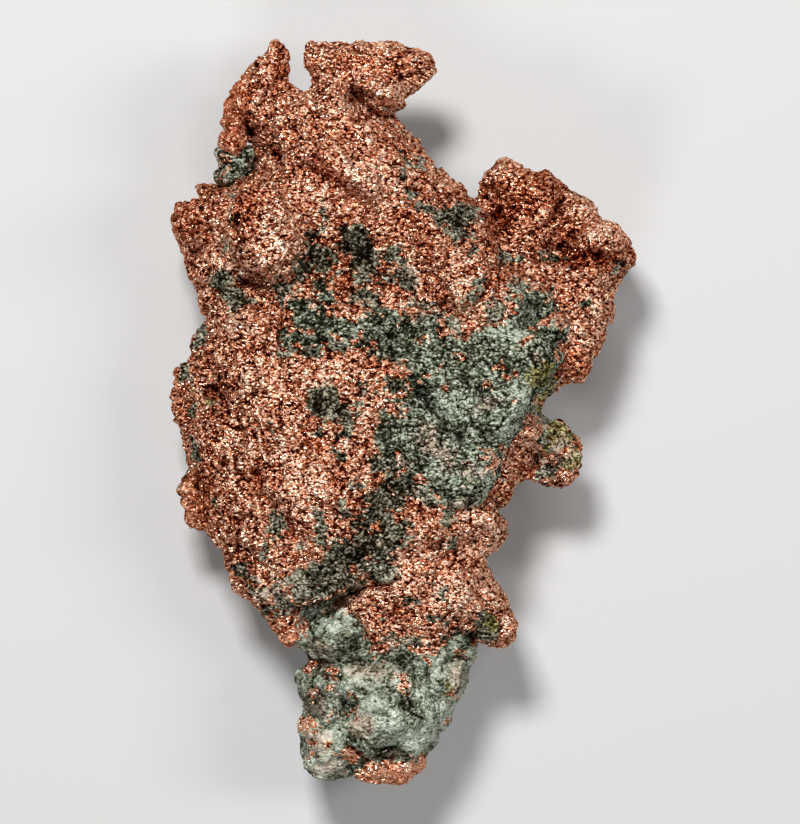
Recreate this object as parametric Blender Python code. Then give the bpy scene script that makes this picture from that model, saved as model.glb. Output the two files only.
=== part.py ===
"""A native copper nugget about 37 mm long, lying on its back.

The copper is one crumpled mass. Three lumps of the green rock that it grew through are still
locked in it: one forms the tail, one fills the hollow in the face, and a small one sits under
the horn. Millimetres here, +Z up, +Y towards the horn end, and the finished part stands on z = 0.
"""

import bmesh
import bpy
import numpy as np
from mathutils import Matrix, Vector, noise

# ---------------------------------------------------------------- driving dimensions, millimetres
LENGTH = 37.2
WIDTH = 23.1
SEAM = 0.32          # gap between the copper and a lump of rock
VOXEL = 0.27         # grid on which shapes are fused
SLAB = 1.0           # half the thickness of a sheet before it is swelled to its heights
EDGE_ROUND = 1.9     # width of the band over which a sheet's edge curves down to its rim
LIP = 0.3            # half the thickness left at the very rim
LEVEL_REACH = 1.9    # how far one height point governs its surroundings
TO_METRES = 0.001

# ---------------------------------------------------------------- copper: outlines and heights
# Outline of the main sheet, clockwise from the root of the horn.
BODY_OUTLINE = [
    (-7.3, 14.6), (-6.9, 15.3), (-6.2, 16.0), (-5.6, 16.1), (-5.15, 16.35), (-4.95, 15.95),
    (-4.4, 15.95), (-3.6, 16.3), (-2.6, 16.3), (-2.0, 15.6), (-1.4, 14.95), (-0.4, 14.55),
    (0.25, 14.15), (0.7, 13.5), (1.1, 13.0), (1.5, 12.5), (1.85, 11.8), (2.05, 11.4),
    (2.3, 11.8), (2.65, 11.3), (3.05, 11.4), (3.45, 10.9), (3.7, 10.35), (4.6, 9.6),
    (5.6, 7.6), (7.4, 5.6), (8.3, 3.4), (8.1, 1.8), (8.05, 1.3), (7.7, 0.97), (7.2, 0.9),
    (7.15, 0.5), (7.4, 0.3), (7.2, 0.05), (6.9, -0.1), (6.7, -1.6), (6.2, -2.8), (5.7, -3.1),
    (5.88, -3.5), (5.8, -3.95), (5.5, -4.4), (5.0, -4.65), (4.7, -4.6), (4.75, -4.95),
    (5.05, -5.2), (5.22, -5.7), (5.15, -6.1), (5.1, -6.5), (4.7, -6.8), (4.3, -6.95),
    (4.25, -7.2), (4.35, -7.6), (4.65, -8.05), (4.6, -8.5), (5.0, -8.9), (5.1, -9.3),
    (5.45, -9.7), (5.5, -10.0), (5.3, -10.2), (5.7, -10.4), (5.95, -10.75), (5.7, -11.1),
    (5.3, -11.5), (4.95, -11.78), (4.6, -11.5), (4.0, -11.45), (3.5, -11.0), (2.6, -10.9),
    (2.2, -11.5), (1.2, -12.0), (0.4, -11.7), (-0.6, -11.9), (-1.4, -11.7), (-1.9, -10.8),
    (-2.6, -10.0), (-3.6, -9.7), (-4.6, -9.9), (-4.9, -10.6), (-4.7, -11.3), (-5.1, -11.72),
    (-5.6, -11.55), (-5.95, -11.1), (-5.95, -10.75), (-6.4, -10.7), (-6.68, -10.45),
    (-6.35, -10.0), (-6.9, -9.8), (-7.5, -9.4), (-7.9, -9.0), (-7.95, -8.6), (-8.3, -8.75),
    (-8.4, -8.1), (-8.58, -7.7), (-8.45, -7.2), (-8.7, -6.6), (-9.1, -6.4), (-9.25, -5.8),
    (-9.5, -5.1), (-9.6, -4.4), (-9.9, -3.7), (-10.25, -3.0), (-10.55, -2.3), (-10.7, -1.5),
    (-10.9, -0.8), (-10.6, 0.2), (-10.2, 0.9), (-9.9, 1.7), (-9.8, 2.6), (-9.4, 3.4),
    (-9.3, 4.2), (-9.62, 4.7), (-9.4, 5.1), (-9.75, 5.2), (-9.85, 5.8), (-10.1, 6.3),
    (-10.5, 6.7), (-10.67, 7.3), (-10.5, 7.9), (-10.2, 8.15), (-10.8, 8.3), (-11.0, 8.9),
    (-11.35, 9.3), (-11.38, 9.9), (-11.0, 10.4), (-10.5, 10.62), (-10.0, 10.5),
    (-9.95, 10.9), (-10.08, 11.2), (-9.8, 11.62), (-9.5, 11.4), (-9.0, 11.3), (-8.0, 11.4),
    (-7.3, 12.0), (-7.0, 12.6), (-7.2, 13.3), (-7.4, 14.0),
]
# Height of the face over the table at points across it: x, y, z.
BODY_FACE = [
    (-6.2, 15.0, 7.4), (-3.5, 14.6, 9.0), (-1.0, 13.6, 8.6), (0.9, 12.4, 7.2), (-5.5, 12.8, 8.2),
    (-3.0, 12.4, 9.6), (-0.4, 11.8, 9.4), (2.6, 10.9, 6.8), (-8.3, 11.2, 6.4), (-9.6, 10.4, 5.8),
    (-10.4, 9.4, 5.4), (-8.2, 9.4, 7.6), (-6.6, 9.2, 9.4), (-6.2, 7.6, 9.2), (-9.7, 7.4, 5.8),
    (-8.6, 6.3, 6.3), (-7.0, 6.0, 7.2), (-3.4, 8.9, 8.5), (-2.0, 7.2, 7.8), (-4.2, 6.8, 7.8),
    (-2.8, 6.6, 8.6), (-4.8, 4.2, 8.0), (-2.2, 4.5, 8.2), (0.4, 9.6, 9.7), (2.0, 7.8, 9.8),
    (3.4, 6.4, 9.8), (3.4, 5.2, 9.3), (2.8, 9.7, 7.8), (0.6, 6.4, 8.9), (1.0, 3.8, 8.7),
    (3.0, 1.5, 9.0), (5.0, 0.5, 8.0), (5.8, 3.2, 7.8), (7.0, 1.2, 6.6), (7.6, 1.9, 6.2), (2.5, -1.0, 9.1),
    (3.5, -3.2, 9.0), (0.0, 0.2, 9.0), (-1.5, -1.6, 9.1), (-5.0, 2.0, 9.3), (-2.6, 2.1, 9.5),
    (-6.8, 0.5, 9.0), (-8.6, 0.4, 7.2), (-9.9, 0.4, 5.6), (-8.6, 3.6, 7.3), (-7.1, 4.0, 8.4),
    (-5.0, -2.0, 9.5), (-7.6, -2.4, 8.2), (-9.7, -2.0, 5.8), (-3.0, -2.2, 9.7), (-5.2, -4.3, 9.2),
    (-7.9, -4.9, 7.2), (-3.2, -5.0, 9.3), (-0.6, -4.8, 8.5), (2.0, -5.3, 8.9), (4.4, -5.7, 7.8),
    (-4.2, -8.0, 9.3), (-2.2, -7.6, 8.7), (-6.4, -7.4, 7.7), (-7.4, -8.4, 6.0), (-5.4, -9.2, 7.0),
    (1.5, -7.2, 8.8), (0.6, -9.0, 8.9), (3.2, -8.9, 8.3), (-2.2, -9.5, 7.4), (1.0, -10.9, 8.0),
    (4.8, -10.5, 6.6), (-5.4, -10.9, 5.9), (6.2, -1.9, 6.4), (5.3, -3.8, 7.0),
]
# Height of the rim at points round the edge.
BODY_RIM = [
    (-6.4, 15.6, 5.6), (-2.4, 16.0, 5.9), (1.3, 12.6, 5.4), (3.6, 10.6, 4.6), (7.3, 5.0, 5.0),
    (7.3, 0.6, 5.4), (6.2, -2.8, 4.4), (5.1, -5.7, 5.4), (4.6, -8.2, 5.6), (5.4, -10.6, 4.9),
    (1.0, -11.9, 6.4), (-3.4, -9.8, 6.0), (-5.4, -11.3, 4.4), (-7.9, -8.7, 4.2),
    (-9.3, -5.4, 4.4), (-10.7, -1.4, 3.9), (-9.8, 2.4, 4.4), (-9.6, 5.0, 4.6), (-10.5, 7.2, 4.2),
    (-11.2, 9.6, 4.0), (-9.6, 11.4, 4.4), (-7.2, 12.8, 5.6),
]
# Height of the back over the table.
BODY_BACK = [
    (-4.0, 14.4, 3.4), (-0.5, 13.2, 3.2), (-8.8, 9.6, 2.2), (-5.6, 8.0, 0.9), (0.0, 8.6, 1.5),
    (3.4, 5.6, 1.0), (-8.0, 2.6, 1.9), (-2.6, 3.2, 1.6), (5.6, 1.4, 1.9), (-8.4, -3.2, 2.0),
    (-3.6, -3.8, 1.0), (2.8, -3.2, 1.4), (-5.8, -8.2, 2.0), (0.2, -8.4, 0.9), (3.8, -9.6, 2.2),
]

# The lobe on the right is a second sheet, set further back.
LOBE_OUTLINE = [
    (3.6, 9.2), (4.05, 10.5), (4.3, 10.9), (4.13, 11.3), (4.2, 11.8), (4.6, 12.1), (4.95, 12.02),
    (5.05, 12.38), (5.45, 12.52), (5.8, 12.35), (6.0, 12.1), (6.8, 12.02), (7.4, 11.9),
    (7.9, 11.6), (8.12, 11.25), (8.1, 10.65), (8.45, 10.82), (9.0, 10.72), (9.5, 10.4),
    (9.9, 10.0), (10.02, 9.45), (10.4, 9.52), (10.8, 9.45), (11.1, 9.1), (11.22, 8.65),
    (11.48, 8.4), (11.58, 7.8), (11.5, 7.35), (11.1, 6.9), (10.8, 6.3), (10.55, 5.9),
    (10.62, 5.4), (10.5, 4.9), (10.2, 4.1), (10.0, 3.6), (9.9, 3.0), (9.5, 2.4), (9.3, 1.95),
    (9.0, 1.6), (8.4, 1.53), (8.1, 1.9), (7.4, 3.0), (5.8, 4.0), (4.4, 6.0),
]
LOBE_FACE = [
    (4.8, 11.2, 6.2), (6.6, 11.2, 6.9), (5.2, 9.5, 5.0), (7.0, 9.7, 6.5), (9.0, 9.8, 6.3),
    (9.9, 8.3, 7.3), (8.2, 7.8, 5.6), (6.0, 7.6, 7.4), (8.0, 6.5, 7.8), (9.9, 6.4, 7.0),
    (9.2, 4.2, 7.3), (8.9, 2.4, 6.3), (7.0, 5.0, 7.6),
]
LOBE_RIM = [(4.3, 11.2, 4.3), (7.6, 11.6, 4.4), (11.3, 8.0, 4.2), (10.3, 4.6, 4.9), (8.7, 1.8, 4.7)]
LOBE_BACK = [(5.4, 10.4, 2.6), (8.8, 8.6, 2.0), (8.8, 4.4, 3.0), (6.0, 6.4, 1.6)]

# The slab across the top, joined to the crown by a short neck.
SLAB_OUTLINE = [
    (-4.75, 17.1), (-4.75, 18.05), (-4.5, 18.36), (-3.6, 18.36), (-2.8, 18.3), (-2.0, 18.46),
    (-1.2, 18.3), (-0.6, 18.42), (0.1, 18.32), (1.0, 18.12), (1.5, 17.9), (1.7, 17.5),
    (1.62, 17.15), (1.2, 17.03), (1.66, 16.8), (1.55, 16.5), (1.1, 16.2), (0.8, 15.9),
    (0.15, 15.85), (0.18, 15.4), (-0.2, 14.95), (-0.9, 14.9), (-1.5, 15.3), (-2.2, 15.2),
    (-3.4, 15.2), (-4.05, 16.1), (-4.25, 16.95),
]
SLAB_FACE = [
    (-4.0, 17.7, 7.2), (-2.0, 17.7, 7.6), (0.4, 17.5, 7.5), (-2.8, 16.4, 6.9), (0.6, 16.4, 6.3),
    (-0.8, 15.7, 7.6),
]
SLAB_RIM = [(-4.4, 17.6, 6.0), (-1.0, 18.2, 5.9), (1.3, 17.2, 6.0), (-0.4, 15.3, 6.0)]
SLAB_BACK = [(-3.6, 17.2, 4.9), (0.4, 17.0, 4.7), (-2.2, 16.0, 4.2)]

# Fingers and edge ridges: a line of points x, y, z, radius.
HORN = [
    (-6.05, 18.02, 6.6, 0.52), (-6.1, 17.4, 6.6, 0.76), (-6.5, 16.6, 6.5, 0.92),
    (-7.25, 15.75, 6.4, 0.9), (-7.7, 14.95, 6.3, 0.84), (-8.1, 14.2, 6.4, 0.6),
    (-8.15, 13.62, 6.5, 0.54),
]
HOOK = [
    (-9.9, -3.3, 4.6, 0.5), (-10.28, -3.7, 4.5, 0.56), (-10.22, -4.45, 4.4, 0.5),
    (-10.16, -5.1, 4.3, 0.45), (-9.98, -5.58, 4.2, 0.36),
]
LEFT_FRINGE = [
    (-10.5, 2.5, 4.8, 0.36), (-10.98, 2.2, 4.7, 0.4), (-11.05, 1.55, 4.5, 0.38),
    (-11.1, 0.95, 4.4, 0.4), (-11.18, 0.35, 4.3, 0.38), (-11.1, -0.1, 4.2, 0.4),
    (-10.8, -0.55, 4.2, 0.42),
]
FRINGE_SHELF = [(-10.0, 2.1, 5.2, 0.5), (-10.3, 1.2, 4.9, 0.5), (-9.7, 0.7, 5.5, 0.55)]
GREEN_BUDS = [(-9.85, 3.9, 4.8, 0.42), (-9.86, 3.3, 4.8, 0.42), (-9.5, 3.0, 5.2, 0.4)]
STUB_NECK = [(5.6, -1.5, 6.6, 1.1), (6.6, -1.4, 5.6, 1.0), (7.4, -1.9, 4.8, 1.2)]
STUB_LIP = [(6.0, -2.6, 5.2, 0.62), (7.0, -3.0, 4.6, 0.66), (8.1, -3.1, 4.2, 0.74)]
APRON_LEDGE = [(-0.3, -7.0, 8.9, 0.45), (0.8, -6.6, 9.1, 0.5), (2.0, -6.2, 9.0, 0.5)]
FLAP_EDGE = [(-5.0, -9.1, 8.2, 0.5), (-4.0, -8.8, 8.9, 0.55), (-2.8, -8.4, 9.0, 0.5)]
CROWN_RIDGE = [(-3.9, 12.7, 8.8, 0.7), (-2.8, 12.0, 9.15, 0.75), (-1.5, 11.1, 9.1, 0.7)]
RIDGES = [HORN, HOOK, LEFT_FRINGE, FRINGE_SHELF, GREEN_BUDS, STUB_NECK, STUB_LIP,
          APRON_LEDGE, FLAP_EDGE, CROWN_RIDGE]

# Knobs: centre x, y, z and radii x, y, z.
KNOBS = [
    (-6.75, 9.1, 8.6, 1.7, 2.3, 1.7), (-6.0, 8.0, 8.8, 1.4, 1.5, 1.5),      # cheek of the face
    (-10.5, 9.75, 4.6, 0.86, 0.84, 0.9), (-10.2, 9.0, 4.9, 0.8, 0.7, 0.8),  # left shoulder
    (-9.95, 7.35, 4.9, 0.72, 0.8, 0.8), (-9.5, 5.75, 4.8, 0.36, 0.55, 0.5),
    (7.9, -2.1, 4.4, 1.3, 1.6, 1.3), (7.8, -1.2, 4.5, 1.1, 0.95, 1.1),      # stub
    (8.9, -1.7, 4.0, 0.42, 0.45, 0.5), (8.5, -2.9, 4.0, 0.6, 0.85, 0.8),
    (9.9, 8.4, 6.0, 1.35, 1.05, 1.3), (8.95, 9.85, 5.3, 0.98, 0.86, 0.9),   # lobe
    (7.1, 11.0, 5.6, 1.0, 0.9, 1.1), (5.35, 11.6, 5.2, 0.85, 0.9, 1.0),
    (4.65, 11.4, 5.0, 0.52, 0.66, 0.7), (9.2, 5.6, 6.2, 1.1, 1.6, 1.0),
    (3.3, 6.6, 9.2, 1.2, 1.4, 0.9), (1.7, 8.3, 9.2, 1.0, 1.2, 0.8),         # ridge of the face
    (-0.7, 15.6, 6.6, 0.8, 0.72, 1.0), (1.15, 17.5, 6.3, 0.55, 0.5, 0.8),   # slab's drop and end
    (4.5, -5.7, 6.9, 0.72, 0.98, 1.2), (5.15, -3.75, 6.2, 0.72, 0.86, 1.1), # waist
    (5.1, -10.8, 5.7, 0.75, 0.8, 1.0), (-5.35, -10.9, 5.1, 0.66, 0.8, 1.0),
    (-7.5, -8.95, 4.9, 0.42, 0.42, 0.6), (-8.2, -8.3, 4.6, 0.3, 0.42, 0.5),
    (-8.25, -7.6, 4.9, 0.34, 0.4, 0.5), (-6.25, -10.3, 4.9, 0.42, 0.38, 0.6),
]

# Feet: the worn bumps of the back that the nugget lies on, x, y and radii x, y.
FEET = [(-6.0, 8.2, 2.0, 2.8), (4.4, 5.2, 2.9, 1.9), (-5.4, -6.2, 2.6, 1.8), (1.6, -8.4, 1.9, 2.4)]
FOOT_DEPTH = 2.0      # how far a foot's ellipsoid reaches above and below its centre
FOOT_CENTRE = 1.55    # its centre over the table, so that its end is worn flat

# Knobs of the back that stay clear of the table, and the shelf that backs the shoulder rock.
BACK_KNOBS = [
    (-1.6, 10.6, 2.6, 2.4, 1.8, 1.9), (-8.6, 2.6, 3.0, 1.5, 2.6, 1.7), (0.4, 1.6, 2.2, 2.2, 3.0, 1.6),
    (7.0, 8.6, 3.2, 2.0, 1.6, 1.8), (-4.2, -0.6, 2.2, 1.6, 2.1, 1.5), (3.4, -3.6, 2.6, 1.6, 1.9, 1.6),
    (-2.2, -4.4, 2.2, 1.5, 1.2, 1.5), (-3.6, 14.2, 4.2, 1.8, 1.2, 1.4), (-1.0, 5.6, 2.0, 1.8, 1.4, 1.5),
    (-7.95, 12.0, 4.4, 0.95, 1.0, 0.8),
]

# Cracks and folds: how deep, how wide, then the line x, y.
CREASES = [
    (1.1, 0.42, [(-4.1, 12.1), (-3.2, 11.3), (-2.3, 10.6), (-1.6, 9.6)]),
    (1.5, 0.40, [(-2.4, 16.0), (-1.7, 15.35), (-1.1, 14.8), (-0.1, 14.75)]),
    (1.6, 0.42, [(-4.9, -9.75), (-4.2, -9.45), (-3.2, -9.15), (-2.0, -8.9), (-1.4, -8.5)]),
    (0.9, 0.38, [(-8.8, 2.2), (-8.7, 1.2), (-8.9, 0.3)]),
    (0.9, 0.40, [(-10.8, 8.05), (-9.7, 8.15), (-8.9, 8.3)]),
    (0.9, 0.45, [(-7.6, 6.5), (-6.6, 6.4), (-5.4, 6.8)]),
    (0.9, 0.40, [(-6.7, -4.2), (-6.2, -4.8), (-5.3, -5.3), (-5.1, -6.2)]),
    (0.8, 0.36, [(-7.6, -6.7), (-6.9, -7.4), (-6.5, -8.0)]),
    (1.0, 0.40, [(3.5, -6.5), (4.1, -6.15), (4.7, -6.2)]),
    (0.8, 0.36, [(-0.3, -7.35), (0.8, -7.0), (2.0, -6.6)]),
    (0.9, 0.45, [(8.1, 10.6), (8.15, 9.6), (8.2, 8.9), (8.7, 7.7)]),
    (0.7, 0.40, [(8.3, 4.4), (8.7, 3.4), (8.6, 2.4)]),
    (0.8, 0.45, [(6.0, -1.7), (6.9, -2.1), (7.9, -2.6)]),
    (0.7, 0.35, [(-4.6, 1.6), (-4.1, 0.9)]),
]
# Pits: x, y, radius, depth.
PITS = [
    (-7.35, 13.9, 0.45, 1.3), (-6.1, 12.7, 0.5, 0.9), (-6.3, 10.4, 0.4, 0.6),
    (-7.0, -3.1, 0.7, 0.9), (-5.75, -3.1, 0.4, 0.9), (-10.55, 0.1, 0.45, 0.8),
    (-9.3, 1.25, 0.45, 0.9), (5.1, 9.5, 0.8, 0.8), (8.1, 7.9, 0.8, 0.8), (0.5, 16.6, 0.6, 0.5),
    (-2.1, 7.9, 1.0, 0.5), (-4.6, 8.3, 0.8, 0.6), (2.9, 9.5, 0.9, 0.6), (-6.1, -5.5, 0.8, 0.5),
    (-8.7, 6.2, 0.9, 0.4),
]

# ---------------------------------------------------------------- rock: outlines and heights
TAIL_OUTLINE = [
    (-4.75, -11.4), (-4.62, -12.0), (-4.7, -12.5), (-4.92, -12.8), (-5.18, -13.1), (-5.26, -13.4),
    (-5.1, -13.8), (-4.9, -14.2), (-4.6, -14.5), (-4.65, -14.9), (-4.62, -15.15), (-5.12, -15.5),
    (-5.0, -15.8), (-4.9, -16.1), (-4.86, -16.6), (-4.76, -17.2), (-4.6, -17.6), (-4.4, -18.0),
    (-4.0, -18.22), (-3.5, -18.38), (-3.0, -18.32), (-2.5, -18.22), (-2.35, -17.98),
    (-2.0, -18.1), (-1.7, -18.36), (-1.1, -18.6), (-0.5, -18.6), (0.0, -18.3), (0.5, -18.2),
    (1.0, -18.0), (1.22, -17.6), (1.3, -17.1), (1.5, -16.9), (1.9, -16.55), (2.04, -16.1),
    (1.78, -16.0), (1.85, -15.8), (2.2, -15.62), (2.5, -15.58), (2.58, -15.1), (2.8, -14.7),
    (3.1, -14.3), (3.26, -13.8), (3.3, -13.2), (3.42, -12.8), (3.5, -12.6), (3.88, -12.35),
    (3.7, -12.0), (3.7, -11.5), (3.4, -10.2), (2.0, -9.6), (0.0, -9.6), (-2.0, -9.3),
    (-3.6, -9.3), (-4.7, -9.9), (-5.0, -10.6),
]
TAIL_FACE = [
    (-3.8, -10.4, 7.4), (-2.9, -11.2, 8.0), (-3.8, -12.3, 7.2), (-1.0, -10.6, 6.0),
    (1.6, -10.6, 6.0), (-1.2, -12.0, 7.3), (2.4, -12.2, 7.5), (-4.4, -13.4, 6.4),
    (-2.8, -13.6, 8.0), (0.0, -13.8, 8.3), (2.2, -13.6, 7.4), (-3.0, -15.0, 7.7),
    (-0.6, -15.4, 8.3), (1.6, -15.2, 7.2), (-4.0, -16.4, 7.2), (-1.0, -16.8, 7.3),
    (-3.6, -17.6, 6.6), (0.6, -17.4, 6.6), (-1.0, -18.0, 6.2),
]
TAIL_RIM = [
    (-4.8, -11.5, 5.2), (-5.0, -13.6, 4.6), (-4.8, -16.4, 4.8), (-2.6, -18.2, 4.6),
    (0.0, -18.4, 4.8), (1.8, -16.0, 4.6), (3.3, -13.0, 4.8), (2.6, -10.0, 4.6), (-3.6, -9.6, 5.4),
]
TAIL_BACK = [(-3.2, -11.0, 3.2), (1.4, -11.2, 3.4), (-1.2, -13.8, 2.4), (-2.4, -16.6, 2.6),
             (0.4, -16.6, 2.9)]
TAIL_KNOBS = [
    (-4.75, -13.4, 5.0, 0.5, 0.55, 0.7), (-3.0, -11.3, 7.0, 1.1, 1.2, 0.9),
    (-3.6, -17.3, 5.4, 1.0, 0.85, 1.1), (-0.6, -17.9, 5.2, 1.3, 0.62, 0.9),
    (2.35, -15.35, 4.9, 0.28, 0.28, 0.35), (-4.75, -15.5, 5.4, 0.4, 0.3, 0.4),
    (2.3, -13.3, 6.3, 0.85, 1.1, 0.9), (-0.4, -14.6, 7.3, 1.6, 1.5, 0.9),
]
TAIL_CREASES = [
    (0.8, 0.42, [(-4.4, -12.4), (-3.2, -12.3), (-1.9, -12.5)]),
    (0.6, 0.36, [(0.6, -12.8), (1.4, -13.6), (2.0, -14.2)]),
    (0.6, 0.40, [(-2.9, -14.0), (-2.4, -15.0), (-3.2, -15.6)]),
    (0.6, 0.40, [(-2.4, -17.7), (-1.6, -17.2), (-0.2, -17.1)]),
]
TAIL_PITS = [(-2.6, -14.6, 0.6, 0.4), (0.0, -16.8, 0.6, 0.4)]

# The rock that fills the hollow of the face, with a rounded bottom in the copper's pocket.
FACE_ROCK_OUTLINE = [
    (-5.8, 3.1), (-5.85, 3.9), (-5.3, 4.4), (-5.6, 5.4), (-5.6, 6.3), (-4.8, 6.3), (-3.6, 5.9),
    (-2.4, 4.8), (-1.0, 5.1), (0.4, 5.0), (1.6, 5.3), (2.4, 4.7), (2.9, 3.7), (3.4, 3.6),
    (4.3, 4.3), (4.9, 5.5), (5.3, 6.5), (6.1, 6.2), (7.1, 6.2), (7.4, 5.1), (8.2, 4.3),
    (7.7, 3.4), (7.9, 2.5), (7.2, 1.7), (6.5, 0.9), (6.1, -0.1), (5.5, -1.2), (4.9, -2.2),
    (4.4, -3.3), (4.1, -4.2), (3.2, -4.55), (2.2, -4.3), (1.3, -3.4), (0.2, -3.1),
    (-0.8, -2.6), (-1.15, -1.5), (-1.05, -0.2), (-0.9, 1.2), (0.2, 2.1), (-0.7, 2.8),
    (-2.2, 3.0), (-4.0, 2.75),
]
FACE_ROCK_FACE = [
    (-4.8, 5.4, 8.1), (-4.6, 3.9, 8.6), (-3.2, 3.7, 8.6), (-1.2, 4.0, 8.4), (0.6, 3.9, 8.9),
    (2.0, 3.0, 9.2), (3.4, 1.8, 10.2), (5.4, 1.2, 10.1), (5.6, 3.2, 9.6), (5.6, 5.2, 8.6),
    (7.0, 4.8, 8.0), (7.2, 2.8, 8.2), (1.2, 0.8, 9.5), (0.0, -0.6, 9.3), (2.6, -1.0, 10.1),
    (4.2, -1.2, 9.8), (0.4, -2.2, 9.3), (3.2, -3.4, 9.4),
]
FACE_ROCK_BACK = [(-4.4, 4.4, 6.4), (-0.6, 4.0, 6.6), (3.4, 0.6, 6.6), (6.2, 4.0, 6.2),
                  (2.4, -2.6, 6.8)]
FACE_ROCK_RIM = [(-5.0, 4.4, 7.6), (0.0, 3.6, 7.9), (7.0, 3.4, 7.0), (3.4, -3.4, 8.0),
                 (0.0, -1.0, 8.2), (5.8, 0.4, 8.0)]
FACE_ROCK_CREASES = [
    (0.7, 0.34, [(0.8, 1.0), (1.5, 0.5), (1.9, -0.2)]),
    (0.6, 0.32, [(3.9, -0.8), (4.6, -1.4), (5.0, -1.5)]),
    (0.8, 0.36, [(6.1, 5.7), (6.6, 5.3), (6.9, 4.7), (6.3, 4.2)]),
    (0.6, 0.34, [(4.2, 1.0), (4.7, 0.4)]),
    (0.5, 0.32, [(2.2, -0.9), (3.2, -1.1), (3.2, -1.7)]),
]
FACE_ROCK_PITS = [(6.8, 4.3, 0.7, 0.5), (-4.8, 5.6, 0.6, 0.3)]

# The lump of rock under the horn: centre and radii.
SHOULDER_ROCK = [
    (-8.15, 12.35, 5.4, 1.06, 1.05, 1.2), (-8.75, 12.9, 5.2, 0.4, 0.5, 0.7),
    (-8.7, 12.0, 5.2, 0.52, 0.62, 0.9), (-7.6, 12.7, 5.6, 0.52, 0.5, 0.7),
]

# ---------------------------------------------------------------- surface
SWELL = (3.4, 0.42)   # wavelength and height of the broad undulations
LUMP = (1.7, 0.5)     # spacing and height of the small knobs
ROCK_LUMP = (1.3, 0.3)
SIDEWAYS = 0.3       # share of that relief that also moves the surface sideways
TRIANGLES = {"copper_mass": 6200, "tail_rock": 1100, "face_rock": 1150, "shoulder_rock": 240}
POCKET_TRIANGLES = 450

COPPER = ("copper", (0.72, 0.36, 0.24, 1.0), 1.0, 0.38)
TAIL_STONE = ("tail_stone", (0.46, 0.54, 0.45, 1.0), 0.0, 0.75)
DARK_STONE = ("dark_stone", (0.20, 0.27, 0.23, 1.0), 0.0, 0.8)


def clear_scene():
    for obj in list(bpy.data.objects):
        bpy.data.objects.remove(obj)


def points_of(mesh):
    flat = np.empty(len(mesh.vertices) * 3, np.float32)
    mesh.vertices.foreach_get("co", flat)
    return flat.reshape(-1, 3).astype(float)


def set_points(mesh, points):
    mesh.vertices.foreach_set("co", points.astype(np.float32).ravel())
    mesh.update()


def normals_of(mesh):
    flat = np.empty(len(mesh.vertices) * 3, np.float32)
    mesh.vertex_normals.foreach_get("vector", flat)
    return flat.reshape(-1, 3).astype(float)


def object_of(name, bm):
    mesh = bpy.data.meshes.new(name)
    bm.to_mesh(mesh)
    bm.free()
    obj = bpy.data.objects.new(name, mesh)
    bpy.context.scene.collection.objects.link(obj)
    return obj


def baked(obj):
    """Replaces the object's mesh by what its modifiers make of it."""
    graph = bpy.context.evaluated_depsgraph_get()
    mesh = bpy.data.meshes.new_from_object(obj.evaluated_get(graph))
    obj.modifiers.clear()
    old = obj.data
    obj.data = mesh
    bpy.data.meshes.remove(old)
    return obj


def fused(obj, voxel=VOXEL):
    remesh = obj.modifiers.new("fuse", "REMESH")
    remesh.mode = "VOXEL"
    remesh.voxel_size = voxel
    return baked(obj)


def levels(points, survey):
    """Heights at the points, smoothly between the surveyed ones."""
    survey = np.array(survey, float)
    gap = ((points[:, None, :2] - survey[None, :, :2]) ** 2).sum(2)
    weight = np.exp(-(gap - gap.min(1, keepdims=True)) / (2 * LEVEL_REACH**2))
    return (weight * survey[:, 2]).sum(1) / weight.sum(1)


def edge_distance(points, line, closed=True):
    """Distance in plan from each point to a line of points."""
    line = np.array(line, float)
    ends = np.roll(line, -1, axis=0) if closed else line[1:]
    starts = line if closed else line[:-1]
    nearest = np.full(len(points), 1e9)
    for start, end in zip(starts, ends):
        along = end - start
        share = np.clip(((points[:, :2] - start) @ along) / (along @ along), 0, 1)
        foot = start + share[:, None] * along
        nearest = np.minimum(nearest, np.linalg.norm(points[:, :2] - foot, axis=1))
    return nearest


def sheet(name, outline, face, rim, back):
    """A slab of the outline, swelled so that its face and back have the surveyed heights."""
    bm = bmesh.new()
    corners = [bm.verts.new((x, y, -SLAB)) for x, y in outline]
    floor = bm.faces.new(corners)
    lifted = bmesh.ops.extrude_face_region(bm, geom=[floor])["geom"]
    raised = [v for v in lifted if isinstance(v, bmesh.types.BMVert)]
    bmesh.ops.translate(bm, verts=raised, vec=(0, 0, 2 * SLAB))
    bmesh.ops.recalc_face_normals(bm, faces=bm.faces)
    obj = fused(object_of(name, bm))
    points = points_of(obj.data)
    side = np.clip(points[:, 2] / SLAB, -1, 1)
    depth = np.clip(edge_distance(points, outline) / EDGE_ROUND, 0, 1)
    curve = np.sqrt(1 - (1 - depth) ** 2)
    edge = levels(points, rim)
    up = LIP + np.maximum(levels(points, face) - edge - LIP, 0) * curve
    down = LIP + np.maximum(edge - levels(points, back) - LIP, 0) * curve
    points[:, 2] = edge + np.where(side > 0, side * up, side * down)
    set_points(obj.data, points)
    return obj


def add_ball(bm, centre, radii):
    place = Matrix.Translation(Vector(centre)) @ Matrix.Diagonal((*radii, 1.0))
    bmesh.ops.create_icosphere(bm, subdivisions=3, radius=1.0, matrix=place)


def knobs(name, balls, ridges=()):
    """Balls, and rows of balls close enough together to fuse into ridges, as one loose mesh."""
    bm = bmesh.new()
    for x, y, z, rx, ry, rz in balls:
        add_ball(bm, (x, y, z), (rx, ry, rz))
    for ridge in ridges:
        for (*start, first), (*end, last) in zip(ridge, ridge[1:]):
            steps = max(2, int((Vector(end) - Vector(start)).length / (0.3 * min(first, last))))
            for k in range(steps + 1):
                share = k / steps
                centre = Vector(start).lerp(Vector(end), share)
                add_ball(bm, centre, (first + (last - first) * share,) * 3)
    return object_of(name, bm)


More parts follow.
